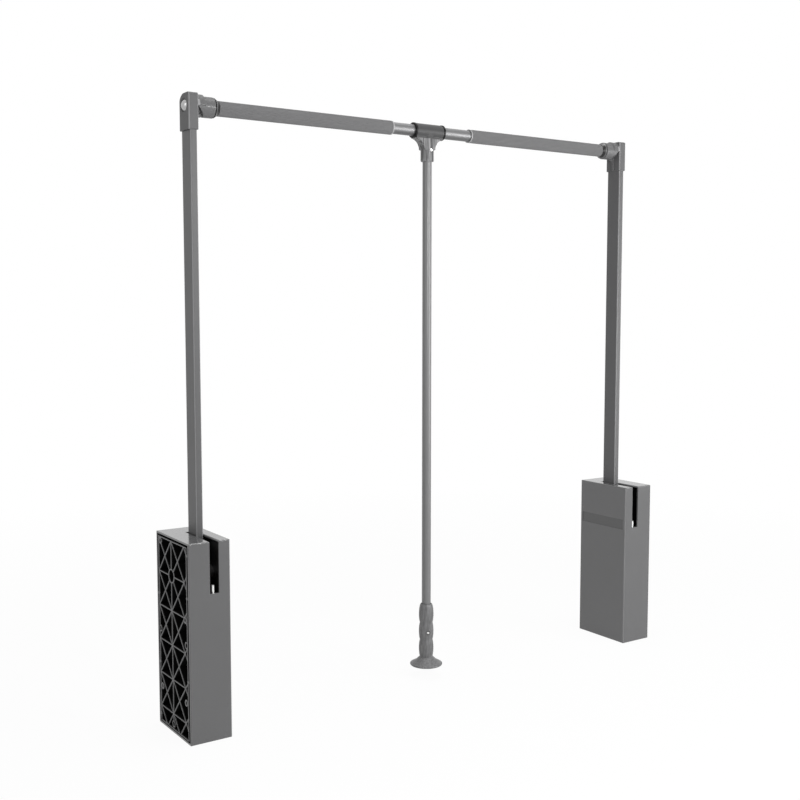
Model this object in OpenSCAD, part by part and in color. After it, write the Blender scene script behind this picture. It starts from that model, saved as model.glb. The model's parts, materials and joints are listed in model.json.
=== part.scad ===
// Pull-down wardrobe rail: two spring housings, two swinging arms, a telescopic rail and a pull rod.
// X runs along the rail, Y into the wardrobe and Z up, in millimetres.
// The origin is under the middle of the rail, at mid depth, level with the bottoms of the housings.

/* [Wardrobe] */
// Width between the two wall faces
wardrobe_width = 847; // [832:1:1140]

/* [Housing] */
// Height of a housing
housing_height = 268; // [264:1:320]
// Depth of a housing, from front to back
housing_depth = 108; // [105:1:130]
// Thickness of a housing, from the wall to its inner face
housing_thickness = 59; // [57:1:70]
// Wall of the cover
cover_wall = 2.5; // [2:0.1:3]
// Radius of the cover's long inner edges
cover_corner = 2.5; // [1.5:0.5:4]
// Radius of the cover's other edges
cover_edge = 1.5; // [1:0.1:1.9]
// Distance of the pivot from the front face
pivot_setback = 58.5; // [57:0.5:62]
// Distance of the pivot below the housing's top
pivot_drop = 53.5; // [51:0.5:57]
// Width of the arm's slot
slot_width = 13; // [11:0.5:15]
// Distance of the slot's lower end below the pivot
slot_drop = 16; // [13:0.5:18]
// Free space behind the arm in the slot
slot_back_gap = 2; // [1:0.5:4]
// Radius where the slot opens at the top
slot_lip = 2.2; // [1:0.1:2.4]
// Height of the sunk band on the inner face
band_height = 17; // [8:1:24]
// Distance of the band's lower edge below the housing's top
band_drop = 72; // [40:1:90]
// Depth of the sunk band
band_depth = 0.6; // [0.3:0.1:1]
// Margin of the sunk band to the front and back faces
band_margin = 5.5; // [4:0.5:9]

/* [Base] */
// Depth of the open ribs on the wall side
rib_depth = 15; // [12:0.5:16]
// Thickness of the ribs
rib_wall = 1.4; // [1:0.1:2]
// Thickness of the deck behind the ribs
deck_wall = 2.5; // [2:0.1:3]
// Height of one row of ribs
rib_pitch = 47.1; // [40:0.1:55]
// Half width of one field of ribs
rib_half_field = 42.5; // [36:0.5:44]
// Inset of the rib frame from the cover's front face
frame_inset = 7.3; // [6:0.1:9]
// Inset of the rib frame from the cover's back face
frame_back_inset = 5.8; // [4.5:0.1:8]
// Radius of the wall screw holes
wall_hole_radius = 2.5; // [2:0.1:3]
// Height of the lower wall screw holes
low_wall_screw = 54; // [45:1:60]
// Distance of the upper wall screw hole at the back below the housing's top
high_screw_drop = 11.5; // [11:0.5:28]
// Distance of the upper wall screw hole at the front below the pivot
front_screw_drop = 49.5; // [48.5:1:74.5]
// Inset of the front wall screw holes from the front face
front_screw_inset = 14.5; // [13:0.5:18]
// Inset of the back wall screw holes from the back face
back_screw_inset = 12.5; // [12:0.5:18]
// Shank radius of the cover screws
cover_screw_radius = 1.5; // [1.2:0.1:1.8]

/* [Arm] */
// Distance from the pivot to the rail's axis
arm_length = 619; // [450:1:900]
// Distance of the arm's middle from the wall
arm_offset = 36; // [35:0.1:36]
// Thickness of the arm tube
arm_thickness = 10; // [9:0.1:10.5]
// Depth of the arm tube, from front to back
arm_depth = 28; // [24:0.5:30]
// Wall of the arm tube
arm_wall = 1.2; // [0.8:0.1:1.6]
// Swing of the arm from upright to its stop
swing_angle = 80; // [75:1:82]
// Radius of the pivot axle
axle_radius = 5; // [4:0.1:5.5]
// Thickness of the lever's cheeks
cheek_wall = 3; // [2:0.1:3.5]
// Distance of the lever's nose pin from the pivot
nose_reach = 26; // [25.5:0.1:27]
// Radius of the nose pin
nose_radius = 5; // [4.5:0.1:5.5]

/* [Strut] */
// Radius of the strut's cylinder
strut_radius = 8; // [7:0.1:8.2]
// Height of the shelf that the strut stands on
shelf_height = 12; // [9:0.5:16]
// Distance of the strut cylinder's top below the pivot
strut_drop = 56.5; // [54.5:1:72.5]
// Radius of the strut's rod
strut_rod_radius = 3; // [2.5:0.1:4]
// Wire of the return spring
spring_wire = 3; // [2:0.1:3.2]
// Mean radius of the return spring
spring_radius = 10.6; // [10.4:0.1:11]
// Turns of the return spring
spring_turns = 19; // [14:1:22]
// Radius of the stop screw
stop_radius = 2.6; // [2:0.1:2.8]
// Distance of the stop screw from the front face
stop_setback = 6.4; // [6:0.1:8]

/* [Rail] */
// Radius of the bright middle tube
middle_radius = 8.5; // [8:0.1:8.7]
// Wall of the bright middle tube
middle_wall = 1; // [0.8:0.1:1.5]
// Distance of the bright middle tube's ends from the wall faces
middle_inset = 84.5; // [83.5:1:120]
// Radius of the outer tubes at the root of their ribs
outer_radius = 9.6; // [9.4:0.1:10]
// Height of the outer tubes' grip ribs
grip_rib = 0.5; // [0.3:0.1:0.7]
// Number of grip ribs round an outer tube
grip_rib_count = 30; // [20:1:36]
// Half length of the bare stretch of the middle tube between the outer tubes
bare_half = 73; // [68:1:120]
// Radius of the connector's barrel
barrel_radius = 13.6; // [13.3:0.1:15]
// Length of the connector's barrel from the arm's middle
barrel_reach = 32.5; // [31.5:0.5:40]

/* [Pull rod] */
// Distance of the pull rod to the right of the rail's middle
tee_place = -6; // [-20:1:20]
// Radius of the tee's barrel
tee_radius = 11; // [10.8:0.1:12]
// Half length of the tee's barrel
tee_half_length = 24; // [20:0.5:26]
// Radius of the tee's stem
stem_radius = 10; // [9:0.1:10.5]
// Distance of the stem's lower end from the rail's axis
stem_drop = 44.5; // [38:0.5:55]
// Radius of the pull tube
pull_radius = 7; // [6:0.1:7.5]
// Wall of the pull tube
pull_wall = 1; // [0.8:0.1:1.5]
// Height of the foot's lower face above the housings' bottoms
foot_height = 17; // [5:1:60]
// Radius of the foot
foot_radius = 25; // [20:0.5:30]
// Radius of the grip at its waists
grip_waist = 9.9; // [9.5:0.1:11]
// How far the grip swells between its waists
grip_swell = 1.45; // [0.5:0.05:1.5]
// Length of the grip
grip_length = 83.5; // [75:0.5:100]
// Turn of the grip's screw from the front towards the left
grip_screw_turn = 16; // [0:1:45]

/* [Hidden] */
$fn = 64;

// Clearances
running_gap = 0.05;
body_gap = 0.3;
cut = 1;

// Levels and axes
front = -housing_depth / 2;
back = housing_depth / 2;
axis_y = front + pivot_setback;
pivot_height = housing_height - pivot_drop;
slot_foot = pivot_height - slot_drop;
band_foot = housing_height - band_drop;
rail_height = pivot_height + arm_length;
rail_half = wardrobe_width / 2 - arm_offset;
middle_half = wardrobe_width / 2 - middle_inset;
cover_inside = housing_thickness - cover_wall;
deck_top = rib_depth + deck_wall;

// Rib frame on the wall side
frame_front = front + frame_inset;
frame_back = back - frame_back_inset;
frame_foot = 4;
frame_top_drop = 5.7;
frame_top = housing_height - frame_top_drop;
front_node = axis_y - rib_half_field;
pivot_ring_radius = 9.8;
pivot_ring_hollow = 8.3;
ring_depth = 8;
boss_radius = 4.6;
wall_screws = [
    [front + front_screw_inset, low_wall_screw],
    [front + front_screw_inset, pivot_height - front_screw_drop],
    [back - back_screw_inset, low_wall_screw],
    [back - back_screw_inset, housing_height - high_screw_drop]
];

// Screws that hold the cover: one at the foot, one at the front and one at the back
foot_screw_rise = 8;
front_post_inset = 11.5;
front_post_drop = 82.5;
back_post_inset = 9;
back_post_drop = 80.5;
cover_screws = [
    [axis_y, frame_foot + foot_screw_rise],
    [front + front_post_inset, pivot_height - front_post_drop],
    [back - back_post_inset, pivot_height - back_post_drop]
];

// Studs on the rib frame, as distances below the pivot, and one by the foot
front_stud_drops = [-37, 19.5, 130.5];
back_stud_drops = [31.5, 127.5];
foot_stud_rise = 9.5;
studs = concat(
    [for (drop = front_stud_drops) [frame_front, pivot_height - drop]],
    [for (drop = back_stud_drops) [frame_back, pivot_height - drop]],
    [[frame_back, frame_foot + foot_stud_rise]]
);
stud_radius = 2.3;
screw_head_radius = 2 * cover_screw_radius;
screw_head_height = 2;
screw_grip = 12;
screw_head_gap = 0.3;
screw_hole_gap = 0.2;
hex_radius = 1.2;
hex_depth = 1.2;
post_radius = 3.8;
axle_cover = 2;

// Lever, in the plane of the arm
lever_radius = 14;
cheek_top = 44;
arm_foot = 14;
lever_web = 2.5;
rivet_heights = [24, 37];
rivet_radius = 3;
rivet_head = 1.2;
rivet_rim = 1.5;
bush_wall = 2;
bush_flange = 1;
bush_rim = 2.5;
nose_angle = 180 - swing_angle / 2;
nose_y = nose_reach * cos(nose_angle);
nose_z = nose_reach * sin(nose_angle);
ear_inset = 0.5;
ear_radius = nose_radius - ear_inset;
cheek_outer = arm_thickness / 2 + cheek_wall;

// Strut below the nose pin: the pin follows a sine and the strut a straight line, so the cap keeps a gap
nose_travel = nose_z - nose_reach * sin(nose_angle + swing_angle);
swing_radians = swing_angle * PI / 180;
chord_ratio = nose_travel / swing_radians;
chord_angle = acos(chord_ratio / nose_reach);
sine_rise = nose_reach * sin(chord_angle) - chord_ratio * chord_angle * PI / 180;
nose_gap = 0.12;
cap_top = pivot_height + nose_z - nose_radius - sine_rise - nose_gap;
strut_y = axis_y + (nose_y - nose_reach) / 2;
cap_head_radius = 6;
cap_head = 3;
cap_neck_radius = 4;
lever_gap = 1.2;
collar_top = pivot_height - lever_radius - lever_gap;
collar_height = 4;
strut_base = 2;
strut_wall = 1.5;
strut_floor = 1.5;
stud_reach = 2;
collar_rim = 0.4;
collar_radius = spring_radius + spring_wire / 2 + collar_rim;
gland_height = 10;
gland_cap = 2;
piston_height = 8;
piston_depth = 24;
strut_top = pivot_height - strut_drop;
piston_z = strut_top - gland_height - piston_height - piston_depth;
rod_seat = 1;
shelf_wall = 4;
shelf_half = 14;
shelf_reach = arm_offset + shelf_half;

// Stop screw: the arm's front face comes down on it at the end of the swing
stop_y = front + stop_setback;
arm_at_stop = -(arm_depth / 2 + (stop_y + stop_radius - axis_y) * cos(swing_angle)) / sin(swing_angle);
stop_top = pivot_height + arm_at_stop - body_gap;
stop_block_drop = 2.5;
stop_block_top = slot_foot - stop_block_drop;
stop_block_height = 24;
stop_block_half = 6.5;
stop_block_wall = 2.4;
stop_block_front = front + cover_wall + body_gap;
stop_block_back = stop_y + stop_radius + stop_block_wall;
stop_peg_radius = 3;

// Corner connector, measured from the arm's middle and the rail's axis
arm_edge = 2;
sleeve_outer = 2.4;
sleeve_wall = 1.6;
sleeve_drop = 32;
sleeve_edge = 2.5;
sleeve_fine_edge = 1.2;
sleeve_shoulder = 3.5;
sleeve_half_depth = arm_depth / 2 + sleeve_wall;
sleeve_outer_face = -arm_thickness / 2 - sleeve_outer;
sleeve_inner_face = arm_thickness / 2 + sleeve_wall;
arm_rise = arm_depth / 2 - sleeve_wall;
recess_radius = 9;
recess_depth = 1.2;
bolt_radius = 4;
bolt_head_radius = 7.5;
bolt_head_height = 4;
bolt_end_gap = 4;
cup_floor = 20;
cup_radius = barrel_radius - 2;
hood_rise = 2;
hood_length = 10;
scarf_length = 12;
core_radius = 9;
web_half = 2;
web_fillet = 10;
web_rise = 3;
web_foot_gap = 1.5;
collar_gap = 1.5;
collar_step = 0.5;
cone_length = 5;
spigot_length = 11;
mouth_depth = 3;
mouth_gap = 1;
rib_start_gap = 0.8;
tube_bore = middle_radius + 0.4;
plug_flange = 2;
ribbed_start = barrel_reach + collar_gap + cone_length + rib_start_gap;
tube_mouth = rail_half - bare_half;
ring_length = 2;
ring_spigot = 10;
plug_spigot = 8;

// Tee and pull rod
bush_flange_length = 2.5;
bush_flange_radius = tee_radius + 0.5;
bush_gap = 0.2;
bush_spigot = 12;
bush_radius = middle_radius + 1.25;
tee_bore = bush_radius + running_gap;
stem_chamfer = 1;
fillet_radius = 16.4;
fillet_half = 7.5;
tube_seat = 6;
tube_top = rail_height - tee_bore - tube_seat;
tee_screw_drop = 28;
tee_screw_z = rail_height - tee_screw_drop;
small_screw_radius = 1.5;
small_head_radius = 2.3;
small_head_height = 0.8;
screw_bite = 1;
foot_rise = 13.3;
foot_rim = 3;
foot_cone = 6.5;
foot_spread = 7;
foot_hollow = 3;
foot_lip = 2;
foot_lip_inset = 6;
foot_edge = 0.8;
foot_socket = 4;
foot_top = foot_height + foot_rise;
grip_bulges = 3;
grip_rim = 3;
grip_mouth = 1.2;
grip_screw_drop = 2.7;
grip_screw_seat = 2;
grip_screw_recess = 3.4;
grip_screw_z = foot_top + grip_length / 2 - grip_screw_drop;

// A box from its low corner to its high corner
module block(low, high) {
    translate(low) cube(high - low);
}

// A rectangle whose corners are rounded, in the order low-low, high-low, high-high, low-high
module plate(low, high, radii) {
    corners = [low, [high[0], low[1]], high, [low[0], high[1]]];
    difference() {
        translate(low) square(high - low);
        for (i = [0:3])
            if (radii[i] > 0)
                translate(corners[i]) rotate(90 * i) difference() {
                    translate([-cut, -cut]) square(radii[i] + cut);
                    translate([radii[i], radii[i]]) circle(radii[i]);
                }
    }
}

// Turns a flat shape in Y and Z into a prism along X
module along_x(low, high) {
    translate([low, 0, 0]) rotate([90, 0, 90]) linear_extrude(high - low) children();
}

// Turns a flat shape in X and Z into a prism along Y
module along_y(low, high) {
    translate([0, high, 0]) rotate([90, 0, 0]) linear_extrude(high - low) children();
}

// A round bar along X, at a place in Y and Z
module bar_x(low, high, radius, place = [0, 0]) {
    translate([low, place[0], place[1]]) rotate([0, 90, 0]) cylinder(h = high - low, r = radius);
}

// A round bar along Z
module bar_z(low, high, radius, place = [0, 0]) {
    translate([place[0], place[1], low]) cylinder(h = high - low, r = radius);
}

// A flat bar between two points
module flat_bar(from, to, width) {
    run = to - from;
    translate(from) rotate(atan2(run[1], run[0])) translate([0, -width / 2]) square([norm(run), width]);
}

// Places a piece whose X is measured from the wall face, on the left or on the right
module left_wall() {
    translate([-wardrobe_width / 2, 0, 0]) children();
}
module right_wall() {
    mirror([1, 0, 0]) left_wall() children();
}

// Places a piece measured from the arm's middle and the pivot
module at_pivot() {
    translate([arm_offset, axis_y, pivot_height]) children();
}

// Places a piece measured from the arm's middle and the rail's axis
module at_corner() {
    translate([arm_offset, axis_y, rail_height]) children();
}

// Ribs on the wall side, drawn in Y and Z
module rib_lattice() {
    rows = [-6:3];
    span = housing_depth;
    slope = rib_pitch / rib_half_field;
    difference() {
        translate([frame_front, frame_foot]) square([frame_back - frame_front, frame_top - frame_foot]);
        translate([frame_front + rib_wall, frame_foot + rib_wall])
            square([frame_back - frame_front - 2 * rib_wall, frame_top - frame_foot - 2 * rib_wall]);
    }
    intersection() {
        translate([frame_front, frame_foot]) square([frame_back - frame_front, frame_top - frame_foot]);
        union() {
            flat_bar([axis_y, 0], [axis_y, housing_height], rib_wall);
            for (row = rows) {
                z = pivot_height + row * rib_pitch;
                flat_bar([axis_y - span, z - span * slope], [axis_y + span, z + span * slope], rib_wall);
                flat_bar([axis_y - span, z + span * slope], [axis_y + span, z - span * slope], rib_wall);
                if (z > frame_foot && z < frame_top)
                    flat_bar([front_node, z], [frame_back, z], rib_wall);
            }
        }
    }
    for (place = wall_screws) translate(place) circle(boss_radius);
    for (place = cover_screws) translate(place) circle(boss_radius);
    for (place = studs) translate(place) circle(stud_radius);
    translate([axis_y, pivot_height]) circle(pivot_ring_radius);
}

// Base: rib lattice, deck, pivot boss and strut shelf
module base() {
    pivot = [axis_y, pivot_height];
    color([0.28, 0.28, 0.29]) difference() {
        union() {
            along_x(0, rib_depth) rib_lattice();
            block([rib_depth, front + cover_wall + body_gap, cover_wall + body_gap],
                [deck_top, back - cover_wall - body_gap, housing_height - cover_wall - body_gap]);
            bar_x(0, arm_offset - cheek_outer - bush_flange - body_gap, pivot_ring_radius, pivot);
            block([rib_depth, strut_y - shelf_half, shelf_height - shelf_wall],
                [shelf_reach, strut_y + shelf_half, shelf_height]);
        }
        bar_x(-cut, ring_depth, pivot_ring_hollow, pivot);
        bar_x(rib_depth, deck_top + cut, stop_peg_radius, stop_peg_place());
        bar_x(0, arm_offset, axle_radius, pivot);
        for (place = wall_screws) bar_x(-cut, deck_top + cut, wall_hole_radius, place);
        for (place = cover_screws) {
            bar_x(-cut, rib_depth, screw_head_radius + screw_head_gap, place);
            bar_x(0, deck_top + cut, cover_screw_radius + screw_hole_gap, place);
        }
        bar_z(0, housing_height, strut_rod_radius, [arm_offset, strut_y]);
    }
}

// Where the stop block's peg goes through the deck
function stop_peg_place() = [
    (stop_block_front + stop_block_back) / 2,
    stop_block_top - stop_block_height / 2
];

// Block on the deck that holds the stop screw
module stop_block() {
    foot = stop_block_top - stop_block_height;
    color([0.28, 0.28, 0.29]) difference() {
        union() {
            block([deck_top, stop_block_front, foot],
                [arm_offset + stop_block_half, stop_block_back, stop_block_top]);
            bar_x(rib_depth, deck_top + cut, stop_peg_radius, stop_peg_place());
        }
        bar_z(foot - cut, stop_block_top + cut, stop_radius, [arm_offset, stop_y]);
    }
}

// A box of the housing's form, with rounded edges
module housing_form(low, high, corner, edge) {
    intersection() {
        translate([0, 0, low[2]]) linear_extrude(high[2] - low[2])
            plate([low[0], low[1]], [high[0], high[1]], [0, corner, corner, 0]);
        along_x(low[0], high[0]) plate([low[1], low[2]], [high[1], high[2]], [edge, edge, edge, edge]);
        along_y(low[1], high[1]) plate([low[0], low[2]], [high[0], high[2]], [0, edge, edge, 0]);
    }
}

// The arm's slot seen from the front, with rounded lips at the top
module slot_outline() {
    side = slot_width / 2;
    translate([arm_offset, 0]) {
        translate([-side, slot_foot]) square([slot_width, housing_height - slot_foot + cut]);
        for (turn = [0, 1]) mirror([turn, 0]) translate([side, housing_height - slot_lip]) difference() {
            square([slot_lip, slot_lip + cut]);
            translate([slot_lip, 0]) circle(slot_lip);
        }
    }
}

// Cover: a shell with the arm's slot, the axle boss and the screw posts
module cover() {
    slot_end = axis_y + arm_depth / 2 + slot_back_gap;
    boss_start = arm_offset + cheek_outer + bush_flange + body_gap;
    color([0.42, 0.42, 0.43]) difference() {
        union() {
            difference() {
                housing_form([0, front, 0], [housing_thickness, back, housing_height],
                    cover_corner, cover_edge);
                housing_form([-cut, front + cover_wall, cover_wall],
                    [cover_inside, back - cover_wall, housing_height - cover_wall],
                    cover_corner - cover_wall, 0);
            }
            bar_x(boss_start, cover_inside + cut, pivot_ring_radius, [axis_y, pivot_height]);
            for (place = cover_screws) bar_x(deck_top, cover_inside + cut, post_radius, place);
        }
        along_y(front - cut, slot_end) slot_outline();
        block([housing_thickness - band_depth, front + band_margin, band_foot],
            [housing_thickness + cut, back - band_margin, band_foot + band_height]);
        bar_x(boss_start - cut, cover_inside - axle_cover, axle_radius, [axis_y, pivot_height]);
        for (place = cover_screws) bar_x(deck_top - cut, deck_top + screw_grip, cover_screw_radius, place);
    }
}

// Screws that hold the cover, from the wall side
module cover_screw_set() {
    head_start = rib_depth - screw_head_height;
    color([0.75, 0.75, 0.74]) for (place = cover_screws) difference() {
        union() {
            bar_x(head_start, rib_depth, screw_head_radius, place);
            bar_x(rib_depth - cut, deck_top + screw_grip, cover_screw_radius, place);
        }
        translate([head_start - cut, place[0], place[1]]) rotate([0, 90, 0])
            cylinder(h = cut + hex_depth, r = hex_radius, $fn = 6);
    }
}

// Screw that stops the arm
module stop_screw() {
    color([0.8, 0.8, 0.8])
        bar_z(stop_block_top - stop_block_height, stop_top, stop_radius, [arm_offset, stop_y]);
}

// Axle between the base and the cover
module axle() {
    color([0.6, 0.6, 0.6]) bar_x(ring_depth, cover_inside - axle_cover, axle_radius, [axis_y, pivot_height]);
}

// Two flanged bushes in the lever's cheeks
module axle_bushes() {
    color([0.12, 0.12, 0.12]) at_pivot() for (side = [0, 1]) mirror([side, 0, 0]) difference() {
        union() {
            bar_x(arm_thickness / 2, cheek_outer + bush_flange, axle_radius + bush_wall);
            bar_x(cheek_outer, cheek_outer + bush_flange, axle_radius + bush_wall + bush_rim);
        }
        bar_x(0, cheek_outer + bush_flange + cut, axle_radius + running_gap);
    }
}

// Outline of a lever cheek, in Y and Z from the pivot
module cheek_outline() {
    half = arm_depth / 2;
    circle(lever_radius);
    translate([-half, 0]) square([arm_depth, cheek_top]);
    translate([half, arm_foot]) square([lever_web, cheek_top - arm_foot]);
    translate([nose_y, nose_z - ear_radius]) square([-nose_y, 2 * ear_radius]);
    translate([nose_y, nose_z]) circle(ear_radius);
}

// Lever: two cheeks and a web round the foot of the arm
module lever() {
    color([0.5, 0.5, 0.5]) at_pivot() difference() {
        union() {
            for (side = [0, 1]) mirror([side, 0, 0])
                along_x(arm_thickness / 2, cheek_outer) cheek_outline();
            block([-cheek_outer, arm_depth / 2, arm_foot],
                [cheek_outer, arm_depth / 2 + lever_web, cheek_top]);
        }
        bar_x(-cheek_outer - cut, cheek_outer + cut, axle_radius + bush_wall);
        bar_x(-cheek_outer - cut, cheek_outer + cut, rivet_radius, [nose_y, nose_z]);
        for (z = rivet_heights) bar_x(-cheek_outer - cut, cheek_outer + cut, rivet_radius, [0, z]);
    }
}

// Rivets through the lever and the arm, and the nose pin
module lever_pins() {
    half = arm_thickness / 2;
    color([0.7, 0.7, 0.7]) at_pivot() {
        for (z = rivet_heights) {
            bar_x(-cheek_outer, cheek_outer, rivet_radius, [0, z]);
            for (side = [0, 1]) mirror([side, 0, 0])
                bar_x(cheek_outer, cheek_outer + rivet_head, rivet_radius + rivet_rim, [0, z]);
        }
        bar_x(-half, half, nose_radius, [nose_y, nose_z]);
        bar_x(-cheek_outer, cheek_outer, rivet_radius, [nose_y, nose_z]);
    }
}

// Strut cylinder, standing on the shelf with its stud in the shelf's hole
module strut_cylinder() {
    color([0.2, 0.2, 0.2]) translate([arm_offset, strut_y, 0]) difference() {
        union() {
            bar_z(shelf_height - shelf_wall - stud_reach, shelf_height + cut, strut_rod_radius);
            bar_z(shelf_height, shelf_height + strut_base, collar_radius);
            bar_z(shelf_height, strut_top, strut_radius);
        }
        bar_z(shelf_height + strut_base + strut_floor, strut_top + cut, strut_radius - strut_wall);
    }
}

// Gland that guides the strut's rod
module strut_gland() {
    color([0.1, 0.1, 0.1]) translate([arm_offset, strut_y, 0]) difference() {
        union() {
            bar_z(strut_top - gland_height, strut_top, strut_radius - strut_wall);
            bar_z(strut_top, strut_top + gland_cap, strut_radius);
        }
        bar_z(0, housing_height, strut_rod_radius + running_gap);
    }
}

// Rod of the strut with its piston
module strut_rod() {
    color([0.8, 0.8, 0.82]) translate([arm_offset, strut_y, 0]) {
        bar_z(piston_z, collar_top - rod_seat, strut_rod_radius);
        bar_z(piston_z, piston_z + piston_height, strut_radius - strut_wall - running_gap);
    }
}

// Cap that the nose pin pushes down, with the collar that the spring bears on
module spring_cap() {
    color([0.3, 0.3, 0.3]) translate([arm_offset, strut_y, 0]) difference() {
        union() {
            bar_z(collar_top - collar_height, collar_top, collar_radius);
            bar_z(collar_top, cap_top - cap_head, cap_neck_radius);
            bar_z(cap_top - cap_head, cap_top, cap_head_radius);
        }
        bar_z(0, collar_top - rod_seat, strut_rod_radius);
    }
}

// Return spring: one turn lies close at each end
module spring() {
    rings = 12;
    sides = 6;
    seat_gap = 0.1;
    end_gap = 0.6;
    low = shelf_height + strut_base + spring_wire / 2 + seat_gap;
    high = collar_top - collar_height - spring_wire / 2 - seat_gap;
    end_pitch = spring_wire + end_gap;
    pitch = (high - low - 2 * end_pitch) / (spring_turns - 2);
    steps = spring_turns * rings;
    function rise(turn) = turn < 1 ? turn * end_pitch
        : turn > spring_turns - 1 ? high - low - (spring_turns - turn) * end_pitch
        : end_pitch + (turn - 1) * pitch;
    points = [for (i = [0:steps]) for (k = [0:sides - 1])
        let (turn = i / rings, around = 360 * turn, angle = 360 * k / sides,
            reach = spring_radius + spring_wire / 2 * cos(angle))
        [reach * cos(around), reach * sin(around), low + rise(turn) + spring_wire / 2 * sin(angle)]];
    skin = [for (i = [0:steps - 1]) for (k = [0:sides - 1])
        let (a = i * sides + k, b = i * sides + (k + 1) % sides)
        each [[a, a + sides, b], [b, a + sides, b + sides]]];
    last = steps * sides;
    ends = [for (k = [1:sides - 2]) each [[0, k, k + 1], [last, last + k + 1, last + k]]];
    color([0.55, 0.55, 0.58]) translate([arm_offset, strut_y, 0]) polyhedron(points, concat(skin, ends));
}

// Solid form of the arm tube, from the pivot up
module arm_form(inset) {
    half = arm_thickness / 2 - inset;
    deep = arm_depth / 2 - inset;
    corner = arm_edge - inset;
    linear_extrude(arm_length + arm_depth)
        plate([-half, -deep], [half, deep], [corner, corner, corner, corner]);
}

// Arm tube, cut round at the top to lie inside the connector
module arm_tube() {
    top = arm_length + arm_rise;
    color([0.42, 0.42, 0.43]) at_pivot() difference() {
        intersection() {
            arm_form(0);
            along_x(-arm_thickness, arm_thickness)
                plate([-arm_depth, arm_foot], [arm_depth / 2, top], [0, 0, arm_rise, 0]);
        }
        translate([0, 0, -cut]) arm_form(arm_wall);
        for (z = rivet_heights) bar_x(-arm_thickness, arm_thickness, rivet_radius, [0, z]);
        bar_x(-arm_thickness, arm_thickness, bolt_radius, [0, arm_length]);
    }
}

// Sleeve of the connector, square at the foot and round at the top
module sleeve() {
    deep = sleeve_half_depth;
    fine = sleeve_fine_edge;
    edges = [sleeve_edge, fine, fine, sleeve_edge];
    intersection() {
        translate([0, 0, -sleeve_drop]) linear_extrude(sleeve_drop + deep)
            plate([sleeve_outer_face, -deep], [sleeve_inner_face, deep], edges);
        along_x(sleeve_outer_face, sleeve_inner_face)
            plate([-deep, -sleeve_drop], [deep, deep], [fine, fine, deep, sleeve_shoulder]);
    }
}

// Barrel of the connector: its lower half starts on a slant, and a hood lies over the upper half
module barrel() {
    face = sleeve_inner_face;
    hood_radius = barrel_radius + hood_rise;
    difference() {
        bar_x(face - cut, barrel_reach, barrel_radius);
        along_y(-hood_radius, hood_radius)
            polygon([[face, 0], [face, -2 * barrel_radius], [face + 2 * scarf_length, -2 * barrel_radius]]);
    }
    bar_x(face - cut, cup_floor, core_radius);
    intersection() {
        union() {
            bar_x(face - cut, face + hood_length, hood_radius);
            translate([face + hood_length, 0, 0]) rotate([0, 90, 0])
                cylinder(h = hood_rise, r1 = hood_radius, r2 = barrel_radius);
        }
        block([0, -hood_radius, 0], [barrel_reach, hood_radius, hood_radius]);
    }
}

// Web below the barrel, rounded into it, and the rib that goes on down the sleeve
module barrel_web() {
    face = sleeve_inner_face;
    low = -barrel_radius - web_fillet;
    along_y(-web_half, web_half) difference() {
        translate([face - cut, low]) square([web_fillet + cut, -low]);
        translate([face + web_fillet, low]) circle(web_fillet);
    }
    block([face - cut, -web_half, -sleeve_drop + web_foot_gap], [face + web_rise, web_half, -barrel_radius]);
}

// Corner connector: a sleeve over the arm, a barrel for the rail and a web between them
module connector() {
    color([0.4, 0.4, 0.41]) at_corner() difference() {
        union() {
            sleeve();
            barrel();
            barrel_web();
        }
        difference() {
            translate([0, 0, -arm_length]) arm_form(0);
            along_x(-arm_thickness, arm_thickness) difference() {
                translate([-2 * arm_depth, 0]) square(4 * arm_depth);
                plate([-arm_depth, -cut], [arm_depth / 2, arm_rise], [0, 0, arm_rise, 0]);
            }
        }
        bar_x(sleeve_outer_face - cut, sleeve_outer_face + recess_depth, recess_radius);
        bar_x(sleeve_outer_face - cut, cup_floor + cut, bolt_radius);
        bar_x(cup_floor, barrel_reach + cut, cup_radius);
    }
}

// Dome-headed bolt on the rail's axis
module connector_bolt() {
    seat = sleeve_outer_face + recess_depth;
    dome = (pow(bolt_head_radius, 2) + pow(bolt_head_height, 2)) / (2 * bolt_head_height);
    color([0.8, 0.8, 0.8]) at_corner() {
        intersection() {
            translate([seat - bolt_head_height + dome, 0, 0]) sphere(dome);
            bar_x(seat - bolt_head_height, seat, bolt_head_radius + cut);
        }
        bar_x(seat, barrel_reach - bolt_end_gap, bolt_radius);
    }
}

// Plug in the end of the outer tube, which the bolt screws into
module end_plug() {
    color([0.15, 0.15, 0.15]) at_corner() difference() {
        union() {
            bar_x(cup_floor, cup_floor + plug_flange, cup_radius);
            bar_x(cup_floor, barrel_reach, tube_bore);
        }
        bar_x(0, barrel_reach - bolt_end_gap, bolt_radius);
    }
}

// Cone collar at the mouth of the barrel
module collar() {
    start = barrel_reach + collar_gap;
    color([0.35, 0.35, 0.36]) at_corner() difference() {
        union() {
            bar_x(start - spigot_length, barrel_reach - mouth_depth, cup_radius);
            bar_x(start - spigot_length, start + cut, cup_radius - mouth_gap);
            translate([start, 0, 0]) rotate([0, 90, 0])
                cylinder(h = cone_length, r1 = barrel_radius - collar_step, r2 = outer_radius + grip_rib);
        }
        bar_x(0, start + cone_length + cut, outer_radius);
    }
}

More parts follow.
